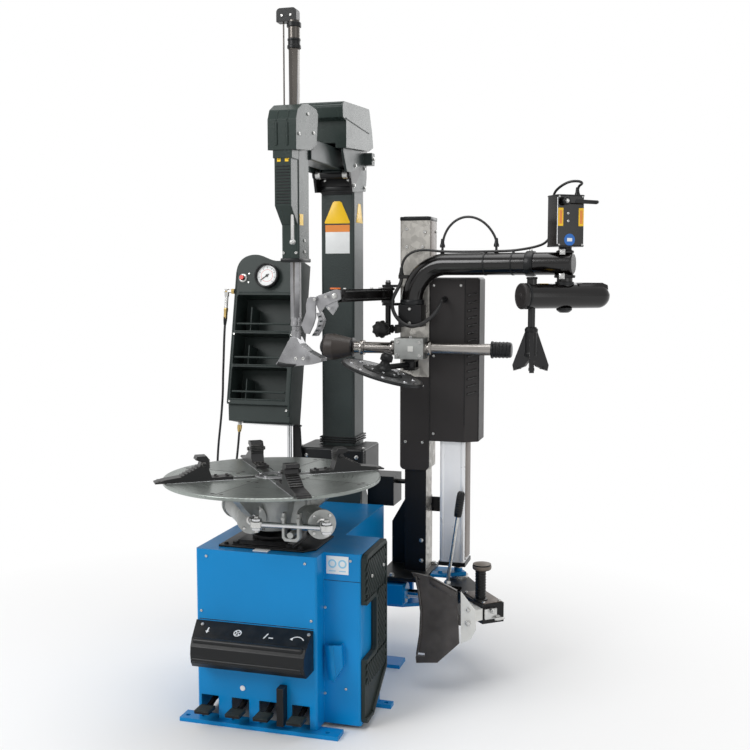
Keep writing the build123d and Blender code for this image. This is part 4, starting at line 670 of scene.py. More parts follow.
def make_table_trim():
    """Centre ring, seams, tracks and everything that turns under the table."""
    ring = Shape()
    centre = stand((0, TABLE_Y, 707.5), TOP)
    ring.ring(centre, [(20, 0), (20, 2), (34, 3.4), (46, 3.4), (50, 1.5), (50, 0)], 64)
    for turn in range(4):
        a = math.radians(JAW_TURN + 45 + 90 * turn)
        ring.bolt((40 * math.cos(a), TABLE_Y + 40 * math.sin(a), 710), TOP, 5.5, False)
    ring.done("table_centre_ring", "turntable", tool_steel, "brushed_steel")

    rims = Shape()
    tracks = Shape()
    for turn in range(4):
        seam = table_turned(JAW_TURN + 45 + 90 * turn)
        rims.slab(seam, [(58, -1), (314, -1), (314, 1), (58, 1)], 0.35, 0)
        for r in (110, 290):
            for side in (14, -14):
                rims.pin(seam @ Matrix.Translation((r, side, -0.4)), 6, 0.9, 0.3)
        track = table_turned(JAW_TURN + 90 * turn)
        rims.slab(track, [(52, -11), (313, -11), (313, 11), (52, 11)], 0.12, 0)
        for side in (-1, 1):
            tracks.brick(track @ Matrix.Translation((182, side * 23, -0.2)), 258, 3.4, 0.9, 0.3)
    rims.done("table_sector_seams", "turntable", forged_black, "dark_steel")
    tracks.done("table_track_edges", "turntable", polished, "brushed_steel")

    forward = Vector((math.cos(CYLINDER_TURN), math.sin(CYLINDER_TURN), 0))
    caps = Shape()
    for across, along in ((-80, 75), (-80, -150), (90, 200), (90, -25)):
        way = forward if along > 0 else -forward
        centre = Vector(hub_point(along, across, 600))
        for turn in range(4):
            a = math.radians(45 + 90 * turn)
            side = forward.cross(Vector((0, 0, 1)))
            offset = side * (33 * math.cos(a)) + Vector((0, 0, 33 * math.sin(a)))
            caps.bolt(centre + offset - way * 1.5, way, 5.5)
            caps.bar(centre + offset - way * 15, centre + offset - way * 60, 3.2)
        caps.ring(stand(centre - way * 1, way), [(11, 0), (17, 0), (17, 3), (13, 5), (11, 5)], 32)
    caps.done("cylinder_cap_bolts", "turntable", zinc_bright, "tool_steel")

    ties = Shape()
    for along, across in ((135, -80), (244, 90)):
        x, y, z = hub_point(along, across, 616)
        ties.bolt((x, y, z), TOP, 9)
        ties.bolt((x, y, 584), (0, 0, -1), 9)
        ties.ring(stand((x, y, 590), TOP), [(15.2, 0), (18, 2), (18, 18), (15.2, 20)], 32)
    ties.done("tie_nuts", "clamp_rod_body", zinc_bright, "tool_steel")

    bracket = Shape()
    x, y, z = hub_point(176, 14, 600)
    place = stand((x, y, 560), FRONT, RIGHT)
    bracket.slab(place, [(-26, 76), (-26, 6), (-18, -4), (18, -4), (26, 6), (26, 76), (18, 76), (18, 10),
                         (12, 5), (-12, 5), (-18, 10), (-18, 76)], 22, 1.5)
    bracket.bolt((x - 22, y - 22, 620), FRONT, 6)
    bracket.bolt((x + 22, y - 22, 620), FRONT, 6)
    bracket.pin(stand((x, y - 26, 575), BACK), 9, 34)
    bracket.done("linkage_bracket", "turntable", cast_alloy, "cast_aluminium")

    collar = Shape()
    collar.ring(stand((0, TABLE_Y, 531), TOP), [(30.4, 0), (60, 0), (60, 8), (48, 16), (30.4, 18)], 64)
    collar.done("spindle_collar", "base", satin_black, "black_paint")
    flange = Shape()
    flange.slab(stand((0, TABLE_Y, 512.3), TOP),
                [(-128, -104), (132, -104), (160, -70), (160, 90), (-128, 96)], 6, 2)
    corners = ((-110, -88), (118, -88), (140, 70), (-110, 76))
    flange.bolts([(x, TABLE_Y + y, 518) for x, y in corners], TOP, 8)
    flange.done("drive_flange", "base", satin_black, "black_paint")


def make_jaw_trim(number):
    """Grip teeth, slide bolts and a cross pin on one jaw."""
    turn = table_turned(JAW_TURN + 90 * (number - 1), 0)
    spin = turn.to_3x3()
    jaw = Shape()

    def at(x, y, z, up):
        return stand(turn @ Vector((x, y, z)), spin @ Vector(up), spin @ Vector((0, 1, 0)))

    for x in (134, 166):
        for y in (-10, 10):
            jaw.bolt(turn @ Vector((x, y, 717)), TOP, 5.5)
    for step in range(5):
        jaw.brick(at(189.4, 0, 746 + step * 5.5, (-1, 0, 0)), 40, 3, 2.4, 0.6)
    for step in range(6):
        x = 222 + step * 9
        jaw.brick(at(x, 0, 752.6 - (x - 216) * 0.5185 - 1, (0.46, 0, 0.888)), 38, 4, 3, 0.8)
    for side in (-1, 1):
        jaw.brick(at(205, side * 19.6, 745, (0, side, 0)), 50, 56, 3.4, 1.2)
        jaw.bolt(turn @ Vector((205, side * 22.8, 757)), spin @ Vector((0, side, 0)), 7)
        jaw.brick(at(300, side * 19.6, 712, (0, side, 0)), 7, 76, 2.4, 0.8)
    jaw.brick(at(326, 0, 713, TOP), 42, 16, 3, 1)
    jaw.done(f"jaw_{number}_grip", f"jaw_body_{number}", forged_black, "dark_steel")


make_table_trim()
for number in range(1, 5):
    make_jaw_trim(number)


# ---------------------------------------------------------------- column, hood and unit
def make_column_trim():
    """Plain plates, collar, head bolts, rollers, hood ridge, foot bolts and boot."""
    panel = Shape()
    panel.slab(stand((-5, 479.9, 1512), FRONT),
               [(-44, -38), (44, -38), (46, -34), (16, 34), (10, 38), (-10, 38), (-16, 34), (-46, -34)],
               0.6, 0.1)
    panel.slab(stand((55.1, 545, 1512), RIGHT, BACK), [(-38, -34), (38, -34), (14, 32), (-14, 32)], 0.6, 0.1)
    panel.done("column_yellow_plates", "column_body", sign_yellow, "white_dial")
    plate = Shape()
    plate.brick(stand((-4, 479.9, 1420), FRONT), 88, 98, 0.6, 0.1)
    plate.done("column_white_plate", "column_body", sign_white, "white_dial")
    bands = Shape()
    bands.brick(stand((-4, 479.3, 1457), FRONT), 88, 24, 0.4, 0)
    bands.done("column_orange_band", "column_body", sign_orange, "white_dial")

    collar = Shape()
    collar.slab(stand((0, 480, 0), FRONT),
                [(-66, 1580), (-56, 1572), (46, 1572), (56, 1580), (60, 1668), (-70, 1668)], 3, 1)
    collar.slab(stand((0, 471, 0), FRONT), [(-60, 1586), (50, 1586), (50, 1600), (-60, 1600)], 4, 1.5)
    collar.done("column_collar", "column_body", moulded_black, "black_plastic")
    bolts = Shape()
    for y, z in ((455, 1600), (580, 1602), (470, 1668), (580, 1668), (400, 1760), (560, 1772)):
        bolts.bolt((63, y, z), RIGHT, 7)
        bolts.bolt((-73, y, z), LEFT, 7)
    bolts.bolts([(x, 472, 1622) for x in (-48, 38)], FRONT, 6)
    bolts.bolt((93, 590, 1702), RIGHT, 8)
    bolts.done("column_head_bolts", "column_body", zinc_bright, "tool_steel")
    rollers = Shape()
    for x0, x1 in ((-62, -44), (34, 52)):
        rollers.bar((x0, 425, 1635.7), (x1, 425, 1635.7), 15.6, 1.5)
    rollers.done("guide_roller_flanges", "column_body", zinc_bright, "tool_steel")

    ridge = Shape()
    ridge.bar((-81, 306, 1850), (71, 306, 1850), 5, 2)
    ridge.bar((75.4, 330, 1806), (75.4, 596, 1792), 2.4, 1)
    ridge.done("hood_ridge", "column_body", unit_green, "dark_plastic")
    foot = Shape()
    foot.bolts([(x, 409, z) for x in (-96, 86) for z in (640, 672)], FRONT, 9)
    foot.socket_screws([(x, 430, 700) for x in (-118, 104)], TOP, 5)
    foot.done("column_foot_bolts", "base", zinc_bright, "tool_steel")
    boots = Shape()
    for z in (708, 716, 724):
        boots.slab(stand((0, 0, z), TOP),
                   [(-72, 476), (62, 476), (62, 603), (-72, 603), (-72, 482), (-65.2, 482), (-65.2, 600.2),
                    (55.2, 600.2), (55.2, 479.8), (-72, 479.8)], 5, 1)
    boots.done("column_boot", "column_body", moulded_black, "black_plastic")


def make_unit_trim():
    """Flutes, screws, plain marks, end ring and grip of the sliding unit."""
    flutes = Shape()
    for x in (-22, 12):
        flutes.bar((x, -42, 1676), (x, -42, 1744), 3.4, 1.5)
        flutes.bar((x, -41, 1748), (x, -27, 1778), 3.4, 1.5)
    flutes.bar((-47, 0, 1668), (-47, 118, 1684), 3, 1)
    flutes.bar((37, 0, 1668), (37, 118, 1684), 3, 1)
    flutes.done("cap_flutes", "slide_unit", unit_green, "dark_plastic")
    screws = Shape()
    for y, z in ((-18, 1712), (110, 1730), (60, 1780)):
        screws.socket_screw((40, y, z), RIGHT, 5)
        screws.socket_screw((-50, y, z), LEFT, 5)
    for z in (1366, 1400):
        screws.socket_screw((23, 70, z), RIGHT, 4.5)
        screws.socket_screw((-33, 70, z), LEFT, 4.5)
    screws.socket_screws([(x, 19.8, 1362) for x in (-25, 15)], FRONT, 4.5)
    screws.done("unit_screws", "slide_unit", zinc_bright, "tool_steel")
    marks = Shape()
    for x, opened in ((-17, 0), (8, 3)):
        marks.brick(stand((x, -36, 1634), FRONT), 11, 9, 0.5, 0)
        marks.ring(stand((x + opened, -36, 1640), FRONT), [(3, 0), (4.8, 0), (4.8, 0.5), (3, 0.5)], 24)
    marks.brick(stand((23, 46, 1463), RIGHT, BACK), 30, 34, 0.5, 0)
    marks.done("unit_yellow_marks", "slide_unit", sign_yellow, "white_dial")
    ring = Shape()
    ring.brick(stand((-5, 70, 1334), TOP), 62, 106, 12, 3)
    ring.brick(stand((-5, 19.6, 1560), FRONT), 44, 220, 1.2, 0.6)
    ring.done("unit_end_ring", "slide_unit", moulded_black, "black_plastic")
    grip = Shape()
    for z in range(1508, 1620, 9):
        grip.bar((-27, -35.4, z), (17, -35.4, z), 2.2, 0.8)
    grip.done("unit_grip_ribs", "slide_unit", moulded_black, "black_plastic")
    button = Shape()
    button.brick(stand((-5, 40, 1640), FRONT), 40, 60, 74, 2)
    button.done("grip_button", "slide_unit", moulded_black, "black_plastic")


def on_bar(z):
    """A place on the tool bar's axis."""
    return stand((-5, 68, z), TOP)


def make_tool_bar_trim():
    """Sleeves and screws at the top of the tool bar, collar and insert at its foot."""
    top = Shape()
    top.ring(on_bar(1976), [(18.2, 0), (21, 2), (21, 10), (18.6, 12), (18.6, 24), (20, 25), (20, 30),
                            (18.2, 31)], 48)
    top.ring(on_bar(2040), [(18.2, 0), (22, 1), (22, 13), (18.2, 15)], 48)
    top.done("bar_top_sleeve", "tool_bar", moulded_black, "black_plastic")
    cap = Shape()
    cap.socket_screw((-38, 52, 2074), FRONT, 4)
    cap.socket_screw((-10, 52, 2074), FRONT, 4)
    cap.pin(stand((-38.5, 68, 2094), TOP), 6, 1.6)
    cap.done("bar_cap_screws", "tool_bar", zinc_bright, "tool_steel")
    neck = Shape()
    neck.ring(on_bar(1114), [(8.8, 0), (16, 1), (16, 8), (13, 10), (13, 22), (16.6, 24), (16.6, 34), (15, 40),
                             (17.1, 48), (17.1, 50), (11.6, 50)], 48)
    neck.done("tool_neck_collar", "tool_bar", tool_steel, "tool_steel")
    head = Shape()
    for x, z in ((12, 1040), (34, 1040)):
        head.socket_screw((x, 20 + (x - 12) * 0.3, z), FRONT, 6)
    head.done("mount_head_screws", "tool_bar", zinc_bright, "tool_steel")
    insert = Shape()
    insert.slab(stand((0, 62, 0), FRONT),
                [(-60, 1017), (-46, 1010.5), (-2, 1012), (2, 1020), (-30, 1022), (-54, 1028)], 26, 2)
    insert.done("mount_head_insert", "tool_bar", moulded_black, "black_plastic")


make_column_trim()
make_unit_trim()
make_tool_bar_trim()


# ---------------------------------------------------------------- inflation tower
LEAN = math.radians(12)
TOWER_FRONT = (0, -math.cos(LEAN), math.sin(LEAN))
GAUGE = (6, 503)
BUTTON = (-88, 497)
INFLATOR_END = Vector((-381.04, 374.64, 1164.77))
INFLATOR_WAY = Vector((-2, -18, -110)).normalized()


def tower_spot(x, up, out=0.0):
    """A point on the tower's leaning front, and its plane."""
    s, c = math.sin(LEAN), math.cos(LEAN)
    return (-235.5 + x, 293 + up * s - out * c, 800 + up * c + out * s)


def make_tower_trim():
    """Gauge, inflation button, shelf beads, screws and hose fittings of the tower."""
    def front(x, up, out=0.0):
        return stand(tower_spot(x, up, out), TOWER_FRONT, RIGHT)

    dial = Shape()
    dial.pin(front(*GAUGE, 12), 36, 0.8, 0.1, 64)
    dial.done("gauge_dial", "base", sign_white, "white_dial")
    ticks = Shape()
    for step in range(41):
        a = math.radians(225 - step * 6.75)
        major = step % 5 == 0
        inner = 25 if major else 28.5
        r = (32 + inner) / 2
        tick = front(GAUGE[0] + r * math.cos(a), GAUGE[1] + r * math.sin(a), 12.8) @ Matrix.Rotation(a, 4,
                                                                                                     "Z")
        ticks.brick(tick, 32 - inner, 1.4 if major else 0.7, 0.2, 0)
    ticks.done("gauge_ticks", "base", satin_black, "black_plastic")
    arc = Shape()
    arc.ring(front(*GAUGE, 12.7), [(20.5, 0), (21.6, 0), (21.6, 0.25), (20.5, 0.25)], 64)
    arc.done("gauge_ring", "base", sign_red, "white_dial")
    bezel = Shape()
    bezel.turned(front(*GAUGE, 14),
                 [(42.7, 0), (43.6, 2), (43.6, 7), (40, 9.4), (37, 7), (36.4, 4), (36.4, 2)], 72)
    bezel.done("gauge_bezel", "base", moulded_black, "black_plastic")
    hand = Shape()
    tip = front(*GAUGE, 14.9) @ Matrix.Rotation(math.radians(215), 4, "Z")
    hand.slab(tip, [(-9, -1.6), (28, -0.5), (28, 0.5), (-9, 1.6)], 0.5, 0)
    hand.pin(front(*GAUGE, 14.8), 4.4, 1.1, 0.4)
    hand.done("gauge_hand", "needle_body", satin_black, "black_plastic")

    collar = Shape()
    collar.ring(front(*BUTTON, -0.4), [(9.3, 0), (15, 0), (15, 2.4), (12.5, 4), (9.3, 4)], 40)
    collar.socket_screws([tower_spot(-66, up) for up in (512, 482)], TOWER_FRONT, 3.4)
    collar.done("button_collar", "base", zinc_bright, "tool_steel")
    cap = Shape()
    cap.pin(front(*BUTTON, 13.5), 8.2, 1.4, 0.8, 32)
    cap.done("button_cap", "inflate_body", sign_red, "button_plastic")

    lips = Shape()
    for low in (75, 194, 311):
        lips.brick(front(-3, low - 1, -2), 200, 5, 5, 2)
        lips.bar(tower_spot(-100, low + 26, -3), tower_spot(95, low + 26, -3), 3.4, 1)
    lips.bar(tower_spot(-112, 60, -3), tower_spot(-112, 520, -3), 4.4, 1.5)
    lips.bar(tower_spot(112, 20, -3), tower_spot(112, 560, -3), 4.4, 1.5)
    lips.bar(tower_spot(-100, 446, -1.5), tower_spot(100, 446, -1.5), 3, 1)
    lips.done("tower_frame_beads", "base", tower_green, "dark_plastic")
    screws = Shape()
    edges = ((-106, 66), (106, 40), (104, 540), (-106, 300), (106, 300))
    screws.socket_screws([tower_spot(x, up) for x, up in edges], TOWER_FRONT, 4)
    screws.bolts([(-146, 318, 518), (-146, 380, 518), (-110, 350, 518)], TOP, 7)
    screws.done("tower_screws", "base", zinc_bright, "tool_steel")

    fittings = Shape()
    fittings.ring(stand(INFLATOR_END + INFLATOR_WAY * 8, -INFLATOR_WAY),
                  [(4.4, -14), (7.4, -12), (7.4, 12), (8.4, 14), (8.4, 24), (6.2, 26), (6.2, 10)], 6)
    fittings.ring(stand((-350, 384, 1240), LEFT), [(6.2, 0), (10, 0), (10, 10), (6.2, 10)], 6)
    fittings.ring(stand((-376, 384, 1240), LEFT), [(6.2, 0), (9, 0), (9, 7), (6.2, 7)], 6)
    fittings.done("inflator_nuts", "base", brass_plate, "brass")
    sockets = Shape()
    for x, z in ((-180, 341), (-188, 390)):
        sockets.ring(stand((x, 413, z), BACK), [(4.3, -6), (9, -6), (9, 4), (6.4, 14), (4.3, 16)], 20)
    down = (0, -0.2079, -0.9781)
    sockets.ring(stand((-331.5, 369.4, 765.1), down), [(4.3, -8), (8.4, -8), (8.4, 3), (6.2, 14), (4.3, 17)],
                 20)
    sockets.done("hose_sleeves", "base", brass_plate, "brass")


make_tower_trim()


# ---------------------------------------------------------------- bead breaker
BREAKER_TURN = math.radians(-51)
BREAKER_AHEAD = Vector((math.cos(BREAKER_TURN), math.sin(BREAKER_TURN), 0))
BREAKER_ASIDE = Vector((-BREAKER_AHEAD.y, BREAKER_AHEAD.x, 0))


def breaker_box(along, across, z):
    """A point on the breaker arm's box, measured along and across it."""
    return Vector((505, 327, z)) + BREAKER_AHEAD * along + BREAKER_ASIDE * across


def make_breaker_trim():
    """Lid, bolts, lock, grips and blade edge of the bead breaker."""
    ahead, aside = BREAKER_AHEAD, BREAKER_ASIDE
    body = "breaker_swing_body"
    plate = Shape()
    plate.slab(stand(breaker_box(0, 0, 262), TOP, ahead), [(10, -34), (142, -34), (142, 34), (10, 40)], 3,
               1.2)
    plate.done("breaker_box_lid", body, strip_brown, "black_paint")
    fixings = Shape()
    corners = ((18, -28), (134, -28), (134, 28), (18, 32))
    fixings.socket_screws([breaker_box(*corner, 265) for corner in corners], TOP, 5)
    fixings.bolt((536, 113, 226), FRONT, 9)
    fixings.bolt((536, 113, 268), FRONT, 7)
    fixings.bolt((430, 480, 294), TOP, 15)
    fixings.done("breaker_bolts", body, zinc_bright, "tool_steel")
    lock = Shape()
    lock.brick(stand(breaker_box(146, -12, 232), ahead, (0, 0, 1)), 34, 44, 8, 2)
    lock.bar(breaker_box(154, -12, 244), breaker_box(166, -12, 244), 8)
    lock.bolt(breaker_box(166, -12, 244), ahead, 7)
    lock.bar(breaker_box(130, -12, 214) - aside * 22, breaker_box(130, -12, 214) - aside * 60, 6)
    lock.bolt(breaker_box(150, 14, 216), ahead, 9)
    wing = stand(breaker_box(160, 14, 216), ahead, (0, 0, 1))
    lock.slab(wing, [(-3, -18), (3, -18), (5, -4), (5, 4), (3, 18), (-3, 18), (-5, 4), (-5, -4)], 4, 1.5)
    lock.done("breaker_lock", body, zinc_bright, "tool_steel")
    gx, gy, _ = breaker_box(102, -22, 0)
    grip = Shape()
    for z in range(274, 362, 9):
        grip.ring(stand((gx, gy, z), TOP), [(15.6, 0), (17.4, 1.4), (17.4, 4.6), (15.6, 6)], 32)
    grip.ring(stand((gx, gy, 262.5), TOP), [(16.2, 0), (24, 0), (22, 7), (16.2, 9)], 32)
    grip.done("breaker_hand_grip", body, moulded_black, "black_plastic")
    knob = Shape()
    knob.turned(stand((gx + 4, gy, 364.5), TOP),
                [(0, 0), (27, 0), (30, 4), (30.4, 11), (26, 17.5), (14, 20.5), (0, 21.5)], 48)
    knob.done("breaker_grip_cap", body, grip_brown, "black_plastic")
    lever = Shape()
    foot = Vector((415, 365, 261))
    along = Vector((46, 0, 316)).normalized()
    lever.turned(stand(foot + along * 238, along),
                 [(6.2, 0), (11, 1), (13.2, 8), (13.4, 66), (13, 80), (9, 87), (0, 89)], 32)
    for step in range(7):
        lever.ring(stand(foot + along * (252 + step * 8), along), [(13, 0), (14.2, 1), (14.2, 3), (13, 4)],
                   24)
    lever.done("breaker_lever_grip", body, moulded_black, "black_plastic")
    yoke = Shape()
    yoke.ring(stand(foot, along), [(6.2, 0), (12, 0), (12, 12), (8, 18), (6.2, 18)], 24)
    yoke.bolt((416, 353, 250), FRONT, 6)
    yoke.done("breaker_lever_yoke", body, zinc_bright, "tool_steel")
    edge = Shape()
    edge.slab(stand((0, 110.2, 0), FRONT),
              [(366, 362), (376, 318), (385, 250), (382, 180), (372, 112), (378, 110), (389, 178), (392, 250),
               (383, 320), (374, 362)], 5, 1.5)
    edge.slab(stand((0, 111, 0), FRONT), [(412, 360), (498, 322), (502, 300), (416, 338)], 4, 1.5)
    edge.done("breaker_blade_edge", body, blade_steel, "dark_steel")
    lug = Shape()
    lug.brick(stand((384, 400, 282), TOP), 60, 44, 10, 2)
    lug.bolt((384, 400, 292), TOP, 9)
    lug.done("breaker_beam_lug", "base", cabinet_blue, "blue_paint")
    beam = Shape()
    beam.bolts([(286, y, 216) for y in (310, 350)], RIGHT, 7)
    beam.bolts([(x, 440, 282) for x in (210, 240)], TOP, 9)
    beam.done("breaker_beam_bolts", "base", zinc_bright, "tool_steel")


make_breaker_trim()


# ---------------------------------------------------------------- mast, its covers and the lift cylinder
def make_mast_trim():
    """Cap, plates, screws, louvres, beads, saddle and lock knob of the mast."""
    body = "mast_body"
    cap = Shape()
    cap.brick(stand((297, 431.5, 1474), TOP), 105, 98, 13, 3)
    cap.brick(stand((297, 431.5, 1486), TOP), 84, 76, 2.5, 1)
    cap.done("mast_top_cap", body, moulded_black, "black_plastic")
    sides = Shape()
    sides.brick(stand((346.6, 432, 1221), RIGHT, BACK), 86, 506, 2.2, 1)
    sides.brick(stand((247.4, 432, 1221), LEFT, BACK), 86, 506, 2.2, 1)
    sides.done("mast_side_plates", body, strip_brown, "black_paint")
    screws = Shape()
    head = ((268, 1447), (329, 1437), (268, 1388), (322, 1388))
    cover = ((362, 770), (362, 1030), (362, 1262), (452, 1262))
    screws.socket_screws([(x, 385, z) for x, z in head], FRONT, 5.5)
    screws.socket_screws([(x, 382, z) for x in (266, 324) for z in (739, 930)], FRONT, 5)
    screws.socket_screws([(x, 380, z) for x, z in cover], FRONT, 4.5)
    screws.socket_screws([(348.8, 460, z) for z in (1010, 1200, 1440)], RIGHT, 5)
    screws.socket_screws([(466, 416, z) for z in (345, 760)], RIGHT, 5)
    screws.done("mast_screws", body, zinc_bright, "tool_steel")

    slats = Shape()
    facet = Vector((0.555, -0.832, 0))
    along = Vector((0.832, 0.555, 0))
    mid = Vector((487, 394, 0))
    for step in range(14):
        z = 905 + step * 25
        place = stand(mid + Vector((0, 0, z)) + facet * 0.2, facet, along)
        slats.slab(place, [(-17, -5), (17, 3), (17, 10), (-17, 2)], 3.4, 1.4)
    slats.done("cover_louvres", body, gloss_black, "black_plastic")
    rim = Shape()
    rim.bar((349, 379.6, 1281), (464, 379.6, 1281), 1.6, 0.5)
    rim.bar((349, 379.6, 752), (349, 379.6, 1281), 1.6, 0.5)
    rim.bar((466, 380, 800), (466, 380, 1284), 1.8, 0.5)
    rim.bar((508, 408, 748), (508, 408, 1284), 1.8, 0.5)
    rim.done("cover_fold_beads", body, satin_black, "black_plastic")
    saddle = Shape()
    saddle.socket_screws([(x, 312, z) for x in (256, 330) for z in (1034, 1078)], FRONT, 6)
    saddle.bolt((293, 345, 1090), TOP, 8)
    saddle.socket_screws([(297, 309, z) for z in (1140, 1186)], FRONT, 5)
    saddle.done("saddle_screws", body, zinc_bright, "tool_steel")
    window = Shape()
    window.brick(stand((299, 311.8, 1056), FRONT), 18, 18, 1, 0.3)
    window.done("saddle_tab", body, nylon_white, "white_dial")

    knob = Shape()
    spot = Vector((201, 311, 1119))
    knob.turned(stand(spot + Vector((0, 27, 0)), FRONT),
                [(6.3, 0), (15, 0), (19, 3), (24, 12), (26.3, 26), (25, 40), (18, 50), (9, 54), (0, 55)], 48)
    for step in range(9):
        a = step * math.tau / 9
        lobe = spot + Vector((23.5 * math.cos(a), 12, 23.5 * math.sin(a)))
        knob.bar(lobe, lobe + Vector((0, -24, 0)), 5.6, 2.5)
    knob.ring(stand((226, 345, 1119), RIGHT), [(8.3, 0), (14, 0), (14, 6), (11, 8), (8.3, 8)], 32)
    knob.done("lock_knob_grip", body, knob_plastic, "black_plastic")
    eyes = Shape()
    eyes.bolt((215, 345, 1272), TOP, 9)
    eyes.bolt((290, 350, 1022), TOP, 8)
    eyes.done("pivot_caps", body, tool_steel, "tool_steel")


def make_lift_trim():
    """Strip, rails, end cap and bolts of the lift cylinder and its post."""
    strip = Shape()
    strip.brick(stand((465.8, 450, 542), RIGHT, BACK), 84, 404, 1.6, 0.6)
    strip.done("lift_side_strip", "base", strip_brown, "black_paint")
    rails = Shape()
    for x in (389, 457):
        rails.slab(stand((x, 402, 336), TOP), [(-6, -3), (6, -3), (6, 3), (-6, 3)], 556, 1.6)
    rails.done("lift_rails", "base", drawn_alloy, "drawn_aluminium")
    ends = Shape()
    ends.brick(stand((423, 450, 893), TOP), 90, 104, 12, 3)
    ends.done("lift_end_cap", "base", cast_alloy, "cast_aluminium")
    bolts = Shape()
    bolts.socket_screws([(x, y, 905) for x in (386, 460) for y in (408, 492)], TOP, 5)
    bolts.bolts([(x, 318, 294) for x in (206, 236, 340)], TOP, 10)
    bolts.bolts([(x, 500, 294) for x in (206, 340)], TOP, 10)
    bolts.bolts([(318, 398, z) for z in (330, 400)], FRONT, 7)
    bolts.bolts([(x, 509, 505) for x in (392, 448)], BACK, 8)
    bolts.done("post_bolts", "base", zinc_bright, "tool_steel")


make_mast_trim()
make_lift_trim()


# ---------------------------------------------------------------- arms, presser and control box
ARM_RUN = Vector((527, -83, 0)).normalized()
ARM_PIVOT = Vector((297, 345, 1330))
ELBOW = (797, 266.5)
SECOND_TURN = math.radians(35.7)
SECOND_REACH = 148
PRESSER = (706.05, 201.15)


def make_arm_trim():
    """Bands, hose ties, bolts and collars of the upper arm, second arm and presser."""
    clamp = Shape()
    clamp.ring(stand(ARM_PIVOT + ARM_RUN * 386, ARM_RUN),
               [(35.1, 0), (38.6, 0), (39.4, 1.5), (39.4, 24.5), (38.6, 26), (35.1, 26)], 64)
    clamp.ring(stand((297, 345, 1199), TOP), [(35.2, 0), (39, 0), (40, 2), (40, 14), (38, 17), (35.2, 17)],
               64)
    clamp.done("arm_bands", "upper_arm_body", moulded_black, "black_plastic")
    ties = Shape()
    for reach in (250, 340):
        ties.ring(stand(ARM_PIVOT + ARM_RUN * reach, ARM_RUN), [(35.1, 0), (36.3, 0), (36.3, 5), (35.1, 5)],
                  64)
        ties.brick(stand(ARM_PIVOT + ARM_RUN * (reach + 2.5) + Vector((0, 0, 35)), TOP, ARM_RUN), 7, 8, 7, 1)
    ties.done("hose_ties", "upper_arm_body", moulded_black, "black_plastic")
    studs = Shape()
    for z, reach in ((1291, 32), (1365, 27)):
        studs.brick(stand((792, 266.5 - reach + 3, z), FRONT), 17, 17, 7, 1)
        studs.bolt((792, 266.5 - reach - 4, z), FRONT, 7.5)
    studs.bolt(ARM_PIVOT + ARM_RUN * 399 + Vector((0, 0, 38.6)), TOP, 7)
    studs.done("arm_bolts", "upper_arm_body", zinc_bright, "tool_steel")
    collar = Shape()
    collar.ring(stand((*ELBOW, 1286), TOP), [(17.2, 0), (30, 0), (32, 2), (32, 8), (24, 10), (17.2, 10)], 48)
    collar.ring(stand((797, 266.2, 1362), TOP),
                [(14.2, 0), (27, 0), (27, 6), (20, 9), (20, 17.6), (14.2, 17.6)], 48)
    collar.done("elbow_collar", "upper_arm_body", satin_black, "black_paint")

    run = Vector((math.cos(SECOND_TURN), math.sin(SECOND_TURN), 0))
    near = Vector((*ELBOW, 1231)) - run * SECOND_REACH
    cap = Shape()
    cap.turned(stand(near + run * 9, -run),
               [(38.1, 0), (39.6, 1), (39.6, 9), (38, 11), (33, 12.5), (31, 11), (0, 11)], 64)
    cap.turned(stand(near - run * 2, -run), [(0, 0), (9, 0), (8, 2), (0, 2.5)], 32)
    cap.done("second_arm_cap", "second_arm_body", cover_grey, "dark_plastic")
    rings = Shape()
    rings.ring(stand(near + run * 14, run), [(38.1, 0), (39.8, 1), (39.8, 6), (38.1, 7)], 64)
    rings.turned(stand((*ELBOW, 1181), TOP),
                 [(0, -1), (13, -1), (18, 2), (24, 7), (24, 14), (14.2, 14), (0, 12)], 48)
    rings.ring(stand((*ELBOW, 1264), TOP), [(24.1, 0), (29, 0), (29, 9), (27, 11), (24.1, 11)], 48)
    rings.done("second_arm_rings", "second_arm_body", moulded_black, "black_plastic")
    cover = Shape()
    side = Vector((-run.y, run.x, 0))
    middle = Vector((*ELBOW, 1231)) + run * 92
    cover.slab(stand(middle - side * 24, -side, run),
               [(-56, 14), (50, 14), (48, 34), (28, 41), (-38, 41), (-56, 38)], -48, 4, 3)
    cover.done("second_arm_cover", "second_arm_body", gloss_black, "gloss_black")
    mark = Shape()
    mark.slab(stand(near + run * 74 + Vector((0, 0, 37.7)), TOP, run),
              [(-13, -8), (15, -8), (15, 8), (-13, 8)], 0.7, 0)
    mark.done("second_arm_mark", "second_arm_body", sign_yellow, "white_dial")

    px, py = PRESSER
    foot = Shape()
    foot.ring(stand((px, py, 1048), TOP),
              [(11.3, 0), (19, 0), (20, 2), (20, 10), (18, 12), (18, 74), (20, 76), (20, 84), (15, 90),
               (11.3, 90)], 40)
    foot.turned(stand((px, py, 1270), TOP), [(11.3, 12), (15, 12), (17, 14), (17, 17), (15, 19), (0, 20)], 40)
    for step in range(3):
        a = math.radians(40 + 120 * step)
        tip = Vector((px + 40 * math.cos(a), py + 40 * math.sin(a), 1012))
        half = Vector((9 * -math.sin(a), 9 * math.cos(a), 0))
        foot.bar(tip - half, tip + half, 5, 1)
    foot.done("presser_collar", "presser_body", satin_black, "black_plastic")


BOX_TURN = math.radians(34)
BOX_ACROSS = Vector((math.cos(BOX_TURN), math.sin(BOX_TURN), 0))
BOX_FACE = Vector((math.sin(BOX_TURN), -math.cos(BOX_TURN), 0))
BOX_FOOT = Vector((797, 266, 1380))


def box_spot(u, v, out=0.0):
    """A point on the control box's face, from the middle of its lower edge."""
    return BOX_FOOT + BOX_ACROSS * u + BOX_FACE * (32 + out) + Vector((0, 0, v))


